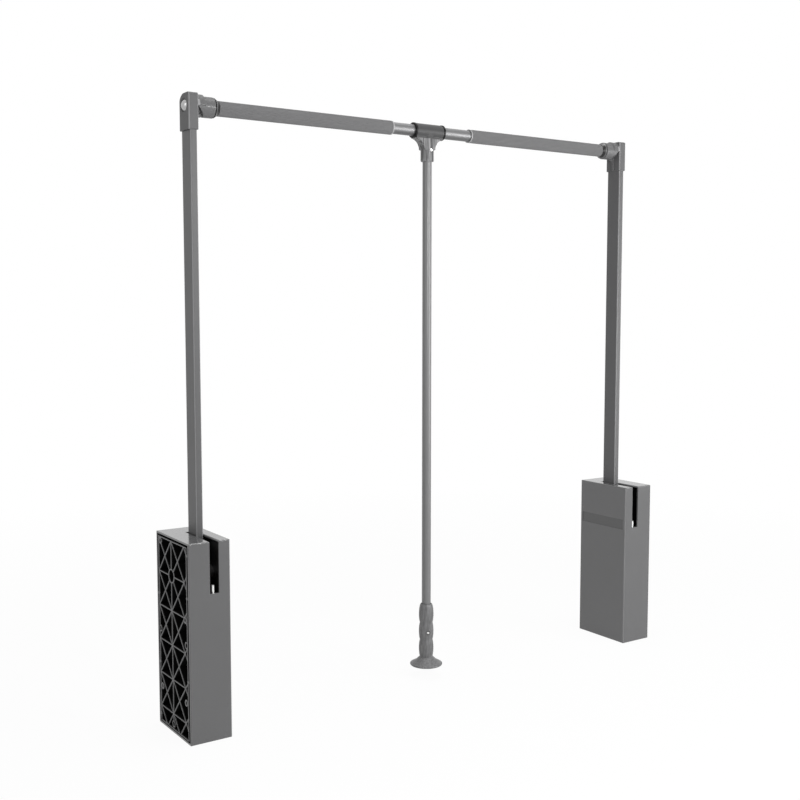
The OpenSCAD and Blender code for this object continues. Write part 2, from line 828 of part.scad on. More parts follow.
// Outer tube with fine grip ribs along it
module outer_tube() {
    crest = outer_radius + grip_rib;
    step = 360 / grip_rib_count;
    root = outer_radius;
    root_share = 0.3;
    crest_share = 0.14;
    one_rib = [[-root_share, root], [-crest_share, crest], [crest_share, crest], [root_share, root]];
    ribs = [for (i = [0:grip_rib_count - 1]) for (part = one_rib)
        part[1] * [cos(step * (i + part[0])), sin(step * (i + part[0]))]];
    color([0.5, 0.5, 0.51]) at_corner() difference() {
        union() {
            bar_x(cup_floor + plug_flange, ribbed_start + cut, outer_radius);
            along_x(ribbed_start, tube_mouth) polygon(ribs);
        }
        bar_x(0, tube_mouth + cut, tube_bore);
    }
}

// Ring in the mouth of the outer tube, which guides the middle tube
module guide_ring() {
    color([0.7, 0.7, 0.7]) at_corner() difference() {
        union() {
            bar_x(tube_mouth - ring_spigot, tube_mouth + ring_length, tube_bore);
            bar_x(tube_mouth, tube_mouth + ring_length, outer_radius + grip_rib);
        }
        bar_x(tube_mouth - ring_spigot - cut, tube_mouth + ring_length + cut, middle_radius + running_gap);
    }
}

// Places a piece on the rail's axis at the middle of the wardrobe
module on_rail() {
    translate([0, axis_y, rail_height]) children();
}

// Places a piece on the rail's axis where the pull rod hangs
module at_tee() {
    translate([tee_place, axis_y, rail_height]) children();
}

// Places a piece on the pull rod's axis
module on_rod() {
    translate([tee_place, axis_y, 0]) children();
}

// Bright tube that joins the two outer tubes
module middle_tube() {
    color([0.85, 0.85, 0.86]) on_rail() difference() {
        bar_x(-middle_half, middle_half, middle_radius);
        bar_x(-middle_half - cut, middle_half + cut, middle_radius - middle_wall);
    }
}

// Sliding plugs in the ends of the bright tube
module middle_plugs() {
    color([0.1, 0.1, 0.1]) on_rail() for (side = [0, 1]) mirror([side, 0, 0]) {
        bar_x(middle_half - plug_spigot, middle_half, middle_radius - middle_wall);
        bar_x(middle_half, middle_half + plug_flange, tube_bore - 2 * running_gap);
    }
}

// Flanged bush at one end of the tee
module tee_bush() {
    flange_start = tee_half_length + bush_gap;
    color([0.08, 0.08, 0.08]) difference() {
        union() {
            bar_x(tee_half_length - bush_spigot, flange_start, bush_radius);
            bar_x(flange_start, flange_start + bush_flange_length, bush_flange_radius);
        }
        bar_x(0, tee_half_length + bush_spigot, middle_radius + running_gap);
    }
}

// Tee that turns on the bushes and holds the pull tube
module tee() {
    foot_z = -stem_drop;
    fillet_foot = -tee_radius - fillet_radius;
    color([0.4, 0.4, 0.41]) at_tee() difference() {
        union() {
            bar_x(-tee_half_length, tee_half_length, tee_radius);
            bar_z(foot_z + stem_chamfer, 0, stem_radius);
            translate([0, 0, foot_z])
                cylinder(h = stem_chamfer, r1 = stem_radius - stem_chamfer, r2 = stem_radius);
            along_y(-fillet_half, fillet_half) difference() {
                translate([-tee_half_length, fillet_foot]) square([2 * tee_half_length, -fillet_foot]);
                for (side = [-1, 1])
                    translate([side * (stem_radius + fillet_radius), fillet_foot]) circle(fillet_radius);
            }
        }
        bar_x(-tee_half_length - cut, tee_half_length + cut, tee_bore);
        bar_z(foot_z - cut, tube_top - rail_height, pull_radius);
        translate([0, 0, -tee_screw_drop]) rotate([90, 0, 0])
            cylinder(h = stem_radius + cut, r = small_screw_radius);
    }
}

// Round-headed screw facing the front, at a height and a distance from the rod's axis
module front_screw(seat) {
    tip = pull_radius - pull_wall - screw_bite;
    rotate([90, 0, 0]) {
        translate([0, 0, tip]) cylinder(h = seat - tip, r = small_screw_radius);
        translate([0, 0, seat]) cylinder(h = small_head_height, r = small_head_radius);
        translate([0, 0, seat + small_head_height])
            cylinder(h = small_head_height, r1 = small_head_radius, r2 = small_screw_radius);
    }
}

// Screw that holds the tee on the pull tube
module tee_screw() {
    color([0.85, 0.85, 0.85]) on_rod() translate([0, 0, tee_screw_z]) front_screw(stem_radius);
}

// Pull tube
module pull_tube() {
    color([0.5, 0.5, 0.51]) on_rod() difference() {
        bar_z(foot_top - foot_socket, tube_top, pull_radius);
        bar_z(foot_height, tube_top + cut, pull_radius - pull_wall);
        translate([0, 0, tee_screw_z]) rotate([90, 0, 0])
            cylinder(h = 2 * pull_radius, r = small_screw_radius);
        translate([0, 0, grip_screw_z]) rotate([90, 0, -grip_screw_turn])
            cylinder(h = 2 * pull_radius, r = small_screw_radius);
    }
}

// Grip with three swellings
module grip() {
    bulge = (grip_length - grip_rim) / grip_bulges;
    steps = 10;
    top = grip_length - grip_rim;
    profile = concat(
        [[pull_radius, 0]],
        [for (i = [0:steps * grip_bulges])
            [grip_waist + grip_swell * abs(sin(180 * i / steps)), bulge * i / steps]],
        [[grip_waist - grip_mouth, grip_length], [pull_radius + grip_mouth, grip_length],
            [pull_radius + grip_mouth, top], [pull_radius, top]]
    );
    color([0.38, 0.38, 0.39]) on_rod() translate([0, 0, foot_top]) difference() {
        rotate_extrude() polygon(profile);
        translate([0, 0, grip_screw_z - foot_top]) rotate([90, 0, -grip_screw_turn]) {
            cylinder(h = 3 * pull_radius, r = small_screw_radius);
            translate([0, 0, pull_radius + grip_screw_seat])
                cylinder(h = 3 * pull_radius, r = grip_screw_recess);
        }
    }
}

// Screw that holds the grip on the pull tube
module grip_screw() {
    color([0.85, 0.85, 0.85]) on_rod() translate([0, 0, grip_screw_z]) rotate([0, 0, -grip_screw_turn])
        front_screw(pull_radius + grip_screw_seat);
}

// Flared foot under the grip: a steep cone and then a flatter one
module foot() {
    color([0.42, 0.42, 0.43]) on_rod() translate([0, 0, foot_height]) difference() {
        rotate_extrude() polygon([
            [0, foot_hollow], [foot_radius - foot_lip_inset, foot_lip], [foot_radius - foot_lip, 0],
            [foot_radius - foot_edge, 0], [foot_radius, foot_edge], [foot_radius, foot_rim - foot_edge],
            [foot_radius - foot_edge, foot_rim], [grip_waist + foot_spread, foot_rise - foot_cone],
            [grip_waist, foot_rise], [0, foot_rise]]);
        bar_z(foot_rise - foot_socket, foot_rise + cut, pull_radius);
    }
}

left_wall() base();  // left_base
left_wall() cover();  // left_cover
left_wall() cover_screw_set();  // left_cover_screws
left_wall() stop_block();  // left_stop_block
left_wall() stop_screw();  // left_stop_screw
left_wall() axle();  // left_axle
left_wall() axle_bushes();  // left_axle_bushes
left_wall() lever();  // left_lever
left_wall() lever_pins();  // left_lever_pins
left_wall() strut_cylinder();  // left_strut_cylinder
left_wall() strut_gland();  // left_strut_gland
left_wall() strut_rod();  // left_strut_rod
left_wall() spring_cap();  // left_spring_cap
left_wall() spring();  // left_spring
left_wall() arm_tube();  // left_arm_tube
left_wall() connector();  // left_connector
left_wall() connector_bolt();  // left_connector_bolt
left_wall() end_plug();  // left_end_plug
left_wall() collar();  // left_collar
left_wall() outer_tube();  // left_outer_tube
left_wall() guide_ring();  // left_guide_ring
right_wall() base();  // right_base
right_wall() cover();  // right_cover
right_wall() cover_screw_set();  // right_cover_screws
right_wall() stop_block();  // right_stop_block
right_wall() stop_screw();  // right_stop_screw
right_wall() axle();  // right_axle
right_wall() axle_bushes();  // right_axle_bushes
right_wall() lever();  // right_lever
right_wall() lever_pins();  // right_lever_pins
right_wall() strut_cylinder();  // right_strut_cylinder
right_wall() strut_gland();  // right_strut_gland
right_wall() strut_rod();  // right_strut_rod
right_wall() spring_cap();  // right_spring_cap
right_wall() spring();  // right_spring
right_wall() arm_tube();  // right_arm_tube
right_wall() connector();  // right_connector
right_wall() connector_bolt();  // right_connector_bolt
right_wall() end_plug();  // right_end_plug
right_wall() collar();  // right_collar
right_wall() outer_tube();  // right_outer_tube
right_wall() guide_ring();  // right_guide_ring
middle_tube();
middle_plugs();
at_tee() mirror([1, 0, 0]) tee_bush();  // tee_left_bush
at_tee() tee_bush();  // tee_right_bush
tee();
tee_screw();
pull_tube();
grip();
grip_screw();
foot();
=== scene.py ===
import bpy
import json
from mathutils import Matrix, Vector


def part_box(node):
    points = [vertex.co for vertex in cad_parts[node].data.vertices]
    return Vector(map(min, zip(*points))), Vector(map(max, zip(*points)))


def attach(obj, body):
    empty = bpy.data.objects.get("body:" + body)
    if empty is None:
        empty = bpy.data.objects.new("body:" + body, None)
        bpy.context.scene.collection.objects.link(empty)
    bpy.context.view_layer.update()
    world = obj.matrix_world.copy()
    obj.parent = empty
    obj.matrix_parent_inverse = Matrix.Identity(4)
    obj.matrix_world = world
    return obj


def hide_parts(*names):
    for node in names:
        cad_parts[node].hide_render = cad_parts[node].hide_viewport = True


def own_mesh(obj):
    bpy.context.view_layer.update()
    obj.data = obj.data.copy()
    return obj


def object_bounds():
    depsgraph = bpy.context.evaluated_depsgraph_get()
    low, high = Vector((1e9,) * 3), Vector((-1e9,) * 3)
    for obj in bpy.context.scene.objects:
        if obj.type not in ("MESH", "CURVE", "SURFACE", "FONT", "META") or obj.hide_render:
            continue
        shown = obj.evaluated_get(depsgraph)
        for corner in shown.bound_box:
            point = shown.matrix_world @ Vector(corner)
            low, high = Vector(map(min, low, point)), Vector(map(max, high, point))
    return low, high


bl_info = {
    "name": "Pull-down wardrobe rail",
    "version": (1, 0, 0),
    "blender": (4, 5, 0),
    "location": "View3D > Sidebar > Wardrobe rail",
    "description": "Finishes and shapes for a sprung wardrobe rail on two side housings",
    "category": "Object",
}

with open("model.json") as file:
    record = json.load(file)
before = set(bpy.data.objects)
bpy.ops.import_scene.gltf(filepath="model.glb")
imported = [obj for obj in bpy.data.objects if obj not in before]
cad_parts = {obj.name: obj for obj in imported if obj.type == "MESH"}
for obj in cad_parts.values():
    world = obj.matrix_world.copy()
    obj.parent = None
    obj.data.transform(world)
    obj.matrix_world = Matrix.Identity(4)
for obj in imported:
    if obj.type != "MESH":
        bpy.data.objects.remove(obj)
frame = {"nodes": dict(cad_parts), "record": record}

import json
import math

import bmesh
import bpy
from mathutils import Euler, Vector

CAD_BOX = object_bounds()
IMAGE_SIDE = 800
SENSOR = 36.0
SIDES = ("left", "right")


# Sizes and places read from the frame

def centre(node):
    low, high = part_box(node)
    return (Vector(low) + Vector(high)) / 2


def span(node, axis):
    low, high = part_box(node)
    return low[axis], high[axis]


def mirror_sign(side):
    return -1 if side == "left" else 1


def rib_start(side):
    """Distance from the middle plane at which the grip ribs of an outer tube start, just off the collar."""
    gap = 0.0008
    return min(abs(x) for x in span(side + "_collar", 0)) - gap


RAIL = centre("middle_tube")
FINISHES = {}

# Sizes of pieces, as radii and a wall in metres
PULL_BORE = 0.00705
GRIP_WAIST = 0.0099
SCREW_RECESS = 0.0034
TUBE_WALL = 0.0007

# Places and widths of painted marks, in metres. The collar and rib-end rings are painted shade, the sleeve
# and arm lines painted highlights
COLLAR_RING = 0.0022
RIB_END_RING = 0.0012
SLEEVE_LINE = 0.0018
ARM_LINE = 0.0013
BAND_LOW = 0.1955
BAND_HIGH = 0.2135
BAND_END = 0.005

# Mesh settings. Points closer than WELD become one
WELD = 0.000001
SOFT_ANGLE = math.radians(50)
FOOT_ANGLE = math.radians(40)
MOULDING_TRIANGLES = 90000
POINTS_PER_RIB = 10
POINTS_PER_FLUTE = 6


class RailSizes(bpy.types.PropertyGroup):
    camera_place: bpy.props.FloatVectorProperty(
        name="Camera place", description="Where the camera stands", subtype="XYZ", unit="LENGTH",
        default=(-0.97844, -1.35911, 0.57141), size=3)
    camera_heading: bpy.props.FloatProperty(
        name="Camera heading", description="Turn of the camera to the right of +Y", unit="ROTATION",
        default=math.radians(34.10))
    camera_tilt: bpy.props.FloatProperty(
        name="Camera tilt", description="Tilt of the camera above the level", unit="ROTATION",
        default=math.radians(-4.815))
    focal_pixels: bpy.props.FloatProperty(
        name="Focal length", description="Focal length in pixels of the picture", subtype="PIXEL",
        default=1099.4, min=100)
    rib_count: bpy.props.IntProperty(
        name="Grip ribs", description="Fine ribs round an outer tube", default=30, min=8, max=60)
    rib_height: bpy.props.FloatProperty(
        name="Rib height", description="Height of a fine rib on the outer tube", unit="LENGTH",
        default=0.00045)
    grip_flutes: bpy.props.IntProperty(
        name="Grip flutes", description="Fine flutes round the grip", default=40, min=12, max=120)
    flute_depth: bpy.props.FloatProperty(
        name="Flute depth", description="Depth of a fine flute on the grip", unit="LENGTH", default=0.0003)
    spring_turns: bpy.props.IntProperty(
        name="Spring turns", description="Turns of a return spring", default=19, min=5, max=40)
    wire_radius: bpy.props.FloatProperty(
        name="Spring wire", description="Radius of the spring's wire", unit="LENGTH", default=0.0015)
    voxel: bpy.props.FloatProperty(
        name="Moulding detail", description="Voxel size of the softened mouldings", unit="LENGTH",
        default=0.0004)


def colour_property(title, words, value):
    return bpy.props.FloatVectorProperty(
        name=title, description=words, subtype="COLOR", size=3, min=0, max=1, default=value)


class RailColours(bpy.types.PropertyGroup):
    cover: colour_property("Cover", "Moulded covers of the housings", (0.096, 0.096, 0.098))
    # Base: near black, painted shade deep in the cells of the bases and on the covers' edges against the
    # wall. Rib edges: the lit grey of the ribs
    base: colour_property("Base", "Ribbed bases in the housings", (0.006, 0.006, 0.006))
    rib_edge: colour_property("Rib edges", "Cut edges of the ribs against the wall", (0.30, 0.30, 0.302))
    casting: colour_property("Connectors", "Corner connectors, collars and tee", (0.133, 0.133, 0.135))
    arm: colour_property("Arms", "Powder coat of the arm tubes", (0.106, 0.106, 0.108))
    ribbed: colour_property("Outer tubes", "Grey on the ribbed tubes", (0.165, 0.165, 0.167))
    pull: colour_property("Pull tube", "Paint of the pull tube", (0.16, 0.16, 0.162))
    grip: colour_property("Grip", "Moulded grip and foot", (0.14, 0.14, 0.142))
    # Black: the own colour of bushes, plugs and glands; also the painted shade in the collar and rib-end
    # rings
    black: colour_property("Black parts", "Bushes, plugs and glands", (0.005, 0.005, 0.005))
    pale: colour_property("Guide rings", "Pale rings in the tube mouths", (0.32, 0.32, 0.323))
    bright: colour_property("Bright tube", "Satin aluminium of the middle tube", (0.20, 0.20, 0.203))
    plated: colour_property("Plated screws", "Zinc plate of the screws", (0.82, 0.82, 0.81))
    bolt: colour_property("Bolts", "Dull nickel of the corner bolts", (0.42, 0.42, 0.42))
    steel: colour_property("Plain steel", "Axles, levers and rods", (0.50, 0.50, 0.50))
    floor: colour_property("Floor", "Plain pale floor", (0.86, 0.86, 0.86))


# Shader node groups

def new_group(name, inputs, outputs):
    group = bpy.data.node_groups.new(name, "ShaderNodeTree")
    for title, kind, value in inputs:
        socket = group.interface.new_socket(title, in_out="INPUT", socket_type=kind)
        socket.default_value = value
    for title, kind in outputs:
        group.interface.new_socket(title, in_out="OUTPUT", socket_type=kind)
    return group, group.nodes.new("NodeGroupInput"), group.nodes.new("NodeGroupOutput")


def add_node(tree, kind, values=None, **settings):
    made = tree.nodes.new(kind)
    for key, value in settings.items():
        setattr(made, key, value)
    for key, value in (values or {}).items():
        made.inputs[key].default_value = value
    return made


def noise_of(tree, vector, scale, detail=3.0, roughness=0.55):
    noise = add_node(tree, "ShaderNodeTexNoise", {"Detail": detail, "Roughness": roughness})
    tree.links.new(vector, noise.inputs["Vector"])
    if isinstance(scale, (int, float)):
        noise.inputs["Scale"].default_value = scale
    else:
        tree.links.new(scale, noise.inputs["Scale"])
    return noise


def moulded_grain_group():
    """Grain of moulded plastic and powder coat: a fine height, and soft patches for colour and gloss."""
    group, source, sink = new_group(
        "moulded_grain",
        [("Vector", "NodeSocketVector", (0, 0, 0)), ("Grain Scale", "NodeSocketFloat", 1400.0),
         ("Patch Scale", "NodeSocketFloat", 18.0)],
        [("Height", "NodeSocketFloat"), ("Patches", "NodeSocketFloat")])
    links = group.links
    fine = noise_of(group, source.outputs["Vector"], source.outputs["Grain Scale"], 2.0, 0.5)
    wide = noise_of(group, source.outputs["Vector"], source.outputs["Patch Scale"], 4.0, 0.6)
    third = add_node(group, "ShaderNodeMath", {1: 0.32}, operation="MULTIPLY")
    links.new(source.outputs["Grain Scale"], third.inputs[0])
    middle = noise_of(group, source.outputs["Vector"], third.outputs[0], 3.0, 0.6)
    both = add_node(group, "ShaderNodeMath", {1: 0.6}, operation="MULTIPLY_ADD")
    links.new(middle.outputs["Fac"], both.inputs[0])
    links.new(fine.outputs["Fac"], both.inputs[2])
    links.new(both.outputs[0], sink.inputs["Height"])
    links.new(wide.outputs["Fac"], sink.inputs["Patches"])


def drawn_streaks_group():
    """Fine streaks along a drawn or brushed tube: noise stretched along the piece."""
    group, source, sink = new_group(
        "drawn_streaks",
        [("Vector", "NodeSocketVector", (0, 0, 0)), ("Stretch", "NodeSocketVector", (1, 1, 1)),
         ("Scale", "NodeSocketFloat", 900.0)],
        [("Streaks", "NodeSocketFloat"), ("Bands", "NodeSocketFloat")])
    links = group.links
    stretch = add_node(group, "ShaderNodeVectorMath", operation="MULTIPLY")
    links.new(source.outputs["Vector"], stretch.inputs[0])
    links.new(source.outputs["Stretch"], stretch.inputs[1])
    fine = noise_of(group, stretch.outputs[0], source.outputs["Scale"], 4.0, 0.65)
    wide = add_node(group, "ShaderNodeMath", {1: 0.12}, operation="MULTIPLY")
    links.new(source.outputs["Scale"], wide.inputs[0])
    bands = noise_of(group, stretch.outputs[0], wide.outputs[0], 2.0, 0.5)
    links.new(fine.outputs["Fac"], sink.inputs["Streaks"])
    links.new(bands.outputs["Fac"], sink.inputs["Bands"])


def edge_highlight_group():
    """Masks of rounded edges for painted highlights, found from the normal: upright ones, and level ones at
    front and back.
    """
    group, source, sink = new_group(
        "painted_edge_highlights", [("Normal", "NodeSocketVector", (0, 0, 0))],
        [("Upright", "NodeSocketFloat"), ("Level", "NodeSocketFloat")])
    positive = add_node(group, "ShaderNodeVectorMath", operation="ABSOLUTE")
    group.links.new(source.outputs["Normal"], positive.inputs[0])
    parts = group.nodes.new("ShaderNodeSeparateXYZ")
    group.links.new(positive.outputs[0], parts.inputs[0])
    for title, other in (("Upright", "X"), ("Level", "Z")):
        slant = product(group, parts.outputs["Y"], parts.outputs[other])
        edge = add_node(group, "ShaderNodeMapRange", {"From Min": 0.2, "From Max": 0.42})
        group.links.new(slant, edge.inputs["Value"])
        group.links.new(edge.outputs["Result"], sink.inputs[title])


def group_node(tree, name, vector, values=None):
    """One of the shader node groups, fed with a vector through its first input."""
    made = tree.nodes.new("ShaderNodeGroup")
    made.node_tree = bpy.data.node_groups[name]
    tree.links.new(vector, made.inputs[0])
    for key, value in (values or {}).items():
        made.inputs[key].default_value = value
    return made


def colour_between(tree, factor, dark, light):
    mixed = add_node(tree, "ShaderNodeMix", data_type="RGBA")
    mixed.inputs["A"].default_value = (*dark, 1)
    mixed.inputs["B"].default_value = (*light, 1)
    tree.links.new(factor, mixed.inputs["Factor"])
    return mixed.outputs["Result"]


def value_between(tree, factor, low, high):
    mapped = add_node(tree, "ShaderNodeMapRange", {"To Min": low, "To Max": high})
    tree.links.new(factor, mapped.inputs["Value"])
    return mapped.outputs["Result"]


def bump_on(tree, shader, height, strength, distance):
    bump = add_node(tree, "ShaderNodeBump", {"Strength": strength, "Distance": distance})
    tree.links.new(height, bump.inputs["Height"])
    tree.links.new(bump.outputs["Normal"], shader.inputs["Normal"])


def place_on_piece(tree):
    return tree.nodes.new("ShaderNodeTexCoord").outputs["Object"]


def start_material(name):
    """A new material, kept by its name. Gives its tree, its shader and the place on the piece."""
    material = bpy.data.materials.new("finish_" + name)
    FINISHES[name] = material
    material.use_nodes = True
    tree = material.node_tree
    return tree, tree.nodes["Principled BSDF"], place_on_piece(tree)


def scaled(colour, factor):
    return tuple(min(1.0, part * factor) for part in colour)


def moulded_plastic(name, colour, roughness, grain=1200.0, depth=0.00001, spread=0.06, specular=0.5):
    """Matt or satin moulded plastic with a fine grain and slightly uneven gloss."""
    tree, shader, place = start_material(name)
    grained = group_node(tree, "moulded_grain", place, {"Grain Scale": grain})
    dark = scaled(colour, 1 - spread)
    light = scaled(colour, 1 + spread)
    tint = colour_between(tree, grained.outputs["Patches"], dark, light)
    tree.links.new(tint, shader.inputs["Base Color"])
    gloss = value_between(tree, grained.outputs["Patches"], roughness - 0.06, roughness + 0.06)
    tree.links.new(gloss, shader.inputs["Roughness"])
    shader.inputs["Specular IOR Level"].default_value = specular
    bump_on(tree, shader, grained.outputs["Height"], 0.5, depth)
    return tree, shader


def between(tree, value, low, high, operation="LESS_THAN"):
    """1 where a value lies between two limits, and 0 elsewhere. GREATER_THAN turns this round."""
    middle = add_node(tree, "ShaderNodeMath", {1: (low + high) / 2}, operation="SUBTRACT")
    tree.links.new(value, middle.inputs[0])
    away = add_node(tree, "ShaderNodeMath", operation="ABSOLUTE")
    tree.links.new(middle.outputs[0], away.inputs[0])
    inside = add_node(tree, "ShaderNodeMath", {1: (high - low) / 2}, operation=operation)
    tree.links.new(away.outputs[0], inside.inputs[0])
    return inside.outputs[0]


def product(tree, first, second):
    made = add_node(tree, "ShaderNodeMath", operation="MULTIPLY")
    tree.links.new(first, made.inputs[0])
    tree.links.new(second, made.inputs[1])
    return made.outputs[0]


def part_of_place(tree, axis):
    """X, Y or Z of the shaded point on its piece."""
    parts = tree.nodes.new("ShaderNodeSeparateXYZ")
    tree.links.new(place_on_piece(tree), parts.inputs[0])
    return parts.outputs[axis]


def away_from_middle(tree):
    """Distance of the shaded point from the plane between the housings."""
    away = add_node(tree, "ShaderNodeMath", operation="ABSOLUTE")
    tree.links.new(part_of_place(tree, "X"), away.inputs[0])
    return away.outputs[0]


def tinted(tree, shader, mask, colour):
    """Lays a second colour over the shader's own colour where the mask is 1."""
    own = shader.inputs["Base Color"].links[0].from_socket
    mixed = add_node(tree, "ShaderNodeMix", data_type="RGBA")
    mixed.inputs["B"].default_value = (*colour, 1)
    tree.links.new(mask, mixed.inputs["Factor"])
    tree.links.new(own, mixed.inputs["A"])
    tree.links.new(mixed.outputs["Result"], shader.inputs["Base Color"])


def lighten_corners(tree, shader, colour, across, deep, width):
    """Paints thin lighter strips along the four upright corners of a box-shaped piece, as painted
    highlights.
    """
    away = away_from_middle(tree)
    side = between(tree, away, across[0] + width, across[1] - width, "GREATER_THAN")
    face = between(tree, part_of_place(tree, "Y"), deep[0] + width, deep[1] - width, "GREATER_THAN")
    here = between(tree, away, across[0] - width, across[1] + width)
    corners = product(tree, product(tree, side, face), here)
    tinted(tree, shader, corners, colour)


def lighten_edges(tree, shader, colour, title):
    """Paints the rounded edges of a piece lighter, as a painted highlight where they catch the light."""
    facing = add_node(tree, "ShaderNodeVectorTransform", vector_type="NORMAL", convert_from="WORLD",
                      convert_to="OBJECT")
    tree.links.new(tree.nodes.new("ShaderNodeNewGeometry").outputs["True Normal"], facing.inputs[0])
    edges = group_node(tree, "painted_edge_highlights", facing.outputs[0])
    tinted(tree, shader, edges.outputs[title], colour)


def rib_plastic(name, inside, edge, wall_x):
    """Moulding painted near black as the shade deep in its cells, turning grey towards the rib edges
    against the wall, where the ribs are lit.
    """
    tree, shader, place = start_material(name)
    grained = group_node(tree, "moulded_grain", place, {"Grain Scale": 900.0})
    shade_fade_start = wall_x - 0.0014
    shade_fade_end = wall_x - 0.0002
    # Painted shade in the cells, fading to the lit grey of the rib edges
    rim = add_node(tree, "ShaderNodeMapRange", {"From Min": shade_fade_start, "From Max": shade_fade_end})
    tree.links.new(away_from_middle(tree), rim.inputs["Value"])
    tint = colour_between(tree, rim.outputs["Result"], inside, edge)
    tree.links.new(tint, shader.inputs["Base Color"])
    gloss = value_between(tree, grained.outputs["Patches"], 0.7, 0.85)
    tree.links.new(gloss, shader.inputs["Roughness"])
    shader.inputs["Specular IOR Level"].default_value = 0.03
    bump_on(tree, shader, grained.outputs["Height"], 0.3, 0.00003)


def cover_plastic(name, colour, dark):
    """Satin cover: its edge against the wall is painted dark as shade, the sunk band darker and the rounded
    edges painted lighter as highlights.
    """
    tree, shader = moulded_plastic(name, colour, roughness=0.2, grain=1500.0, depth=0.000005, spread=0.05)
    away = away_from_middle(tree)
    inner, outer = sorted(abs(x) for x in span("left_cover", 0))
    low, high = span("left_cover", 1)
    sunk = scaled(colour, 0.6)
    edge_highlight = scaled(colour, 1.7)
    floor_of_band = between(tree, away, inner + 0.0003, inner + 0.001)
    # Painted shade on the cover's edge against the wall
    wall_edge = between(tree, away, outer - 0.0004, outer + 0.001)
    band = product(tree, floor_of_band, between(tree, part_of_place(tree, "Z"), BAND_LOW, BAND_HIGH))
    band = product(tree, band, between(tree, part_of_place(tree, "Y"), low + BAND_END, high - BAND_END))
    tinted(tree, shader, band, sunk)
    # Painted highlights on the rounded edges
    for title in ("Upright", "Level"):
        lighten_edges(tree, shader, edge_highlight, title)
    tinted(tree, shader, wall_edge, dark)
    shader.inputs["Coat Weight"].default_value = 0.5
    shader.inputs["Coat Roughness"].default_value = 0.12


def collar_plastic(name, colour, dark):
    """Collar: grey like the connector, with a black ring of painted shade where its cone meets the tube."""
    tree, shader = moulded_plastic(name, colour, roughness=0.32)
    across = add_node(tree, "ShaderNodeVectorMath", {1: (0, 1, 1)}, operation="MULTIPLY")
    tree.links.new(place_on_piece(tree), across.inputs[0])
    radius = add_node(tree, "ShaderNodeVectorMath", {1: (0, RAIL.y, RAIL.z)}, operation="DISTANCE")
    tree.links.new(across.outputs[0], radius.inputs[0])
    tube_low, tube_high = span("left_outer_tube", 1)
    # Painted shade: the ring at the mouth round the tube is painted black
    ring = between(tree, radius.outputs["Value"], 0, (tube_high - tube_low) / 2 + COLLAR_RING)
    tinted(tree, shader, ring, dark)


def connector_plastic(name, colour):
    """Connector: painted highlights as lighter lines on the sleeve's corners, and a glossy coat on the
    front of the barrel.
    """
    tree, shader = moulded_plastic(name, colour, roughness=0.42, depth=0.000006, specular=0.15)
    corner = abs(centre("left_arm_tube").x)
    outer = max(abs(x) for x in span("left_connector", 0))
    inner = 2 * corner - outer
    # Painted highlights along the sleeve's upright corners
    edge_highlight = scaled(colour, 2.3)
    lighten_corners(tree, shader, edge_highlight, (inner, outer), span("left_connector", 1), SLEEVE_LINE)
    low = RAIL.z - 0.012
    high = RAIL.z + 0.008
    near = RAIL.y - 0.02
    front = product(tree, between(tree, part_of_place(tree, "Z"), low, high),
                    between(tree, away_from_middle(tree), 0, inner))
    front = product(tree, front, between(tree, part_of_place(tree, "Y"), near, RAIL.y))
    tree.links.new(value_between(tree, front, 0.0, 0.4), shader.inputs["Coat Weight"])
    shader.inputs["Coat Roughness"].default_value = 0.22


def tee_plastic(name, colour):
    """Tee: a shade darker than the connectors, with light streaks down its stem that are partly draw marks
    and partly a painted highlight.
    """
    base = scaled(colour, 0.53)
    draw_mark_and_highlight = scaled(colour, 2.1)
    tree, shader = moulded_plastic(name, base, roughness=0.36, specular=0.2)
    streaks = {"Stretch": (1, 1, 0.05), "Scale": 320.0}
    drawn = group_node(tree, "drawn_streaks", place_on_piece(tree), streaks)
    contrast = add_node(tree, "ShaderNodeMapRange", {"From Min": 0.4, "From Max": 0.56})
    tree.links.new(drawn.outputs["Streaks"], contrast.inputs["Value"])
    front, back = span("tee", 1)
    stem_end = span("tee", 2)[0] - 0.001
    stem_top = RAIL.z - (back - front) / 2
    stem = between(tree, part_of_place(tree, "Z"), stem_end, stem_top)
    # Lighter streaks on the stem: draw marks and a painted highlight
    tinted(tree, shader, product(tree, stem, contrast.outputs["Result"]), draw_mark_and_highlight)


def grained_plastic(name, colour):
    """Grip plastic with a lengthwise grain: dark and light streaks that run down the piece."""
    tree, shader, place = start_material(name)
    drawn = group_node(tree, "drawn_streaks", place, {"Stretch": (1, 1, 0.12), "Scale": 420.0})
    grained = group_node(tree, "moulded_grain", place, {"Grain Scale": 1000.0})
    contrast = add_node(tree, "ShaderNodeMapRange", {"From Min": 0.35, "From Max": 0.65})
    tree.links.new(drawn.outputs["Streaks"], contrast.inputs["Value"])
    tint = colour_between(tree, contrast.outputs["Result"], scaled(colour, 0.72), scaled(colour, 1.28))
    tree.links.new(tint, shader.inputs["Base Color"])
    gloss = value_between(tree, grained.outputs["Patches"], 0.36, 0.5)
    tree.links.new(gloss, shader.inputs["Roughness"])
    bump_on(tree, shader, drawn.outputs["Streaks"], 0.6, 0.0002)


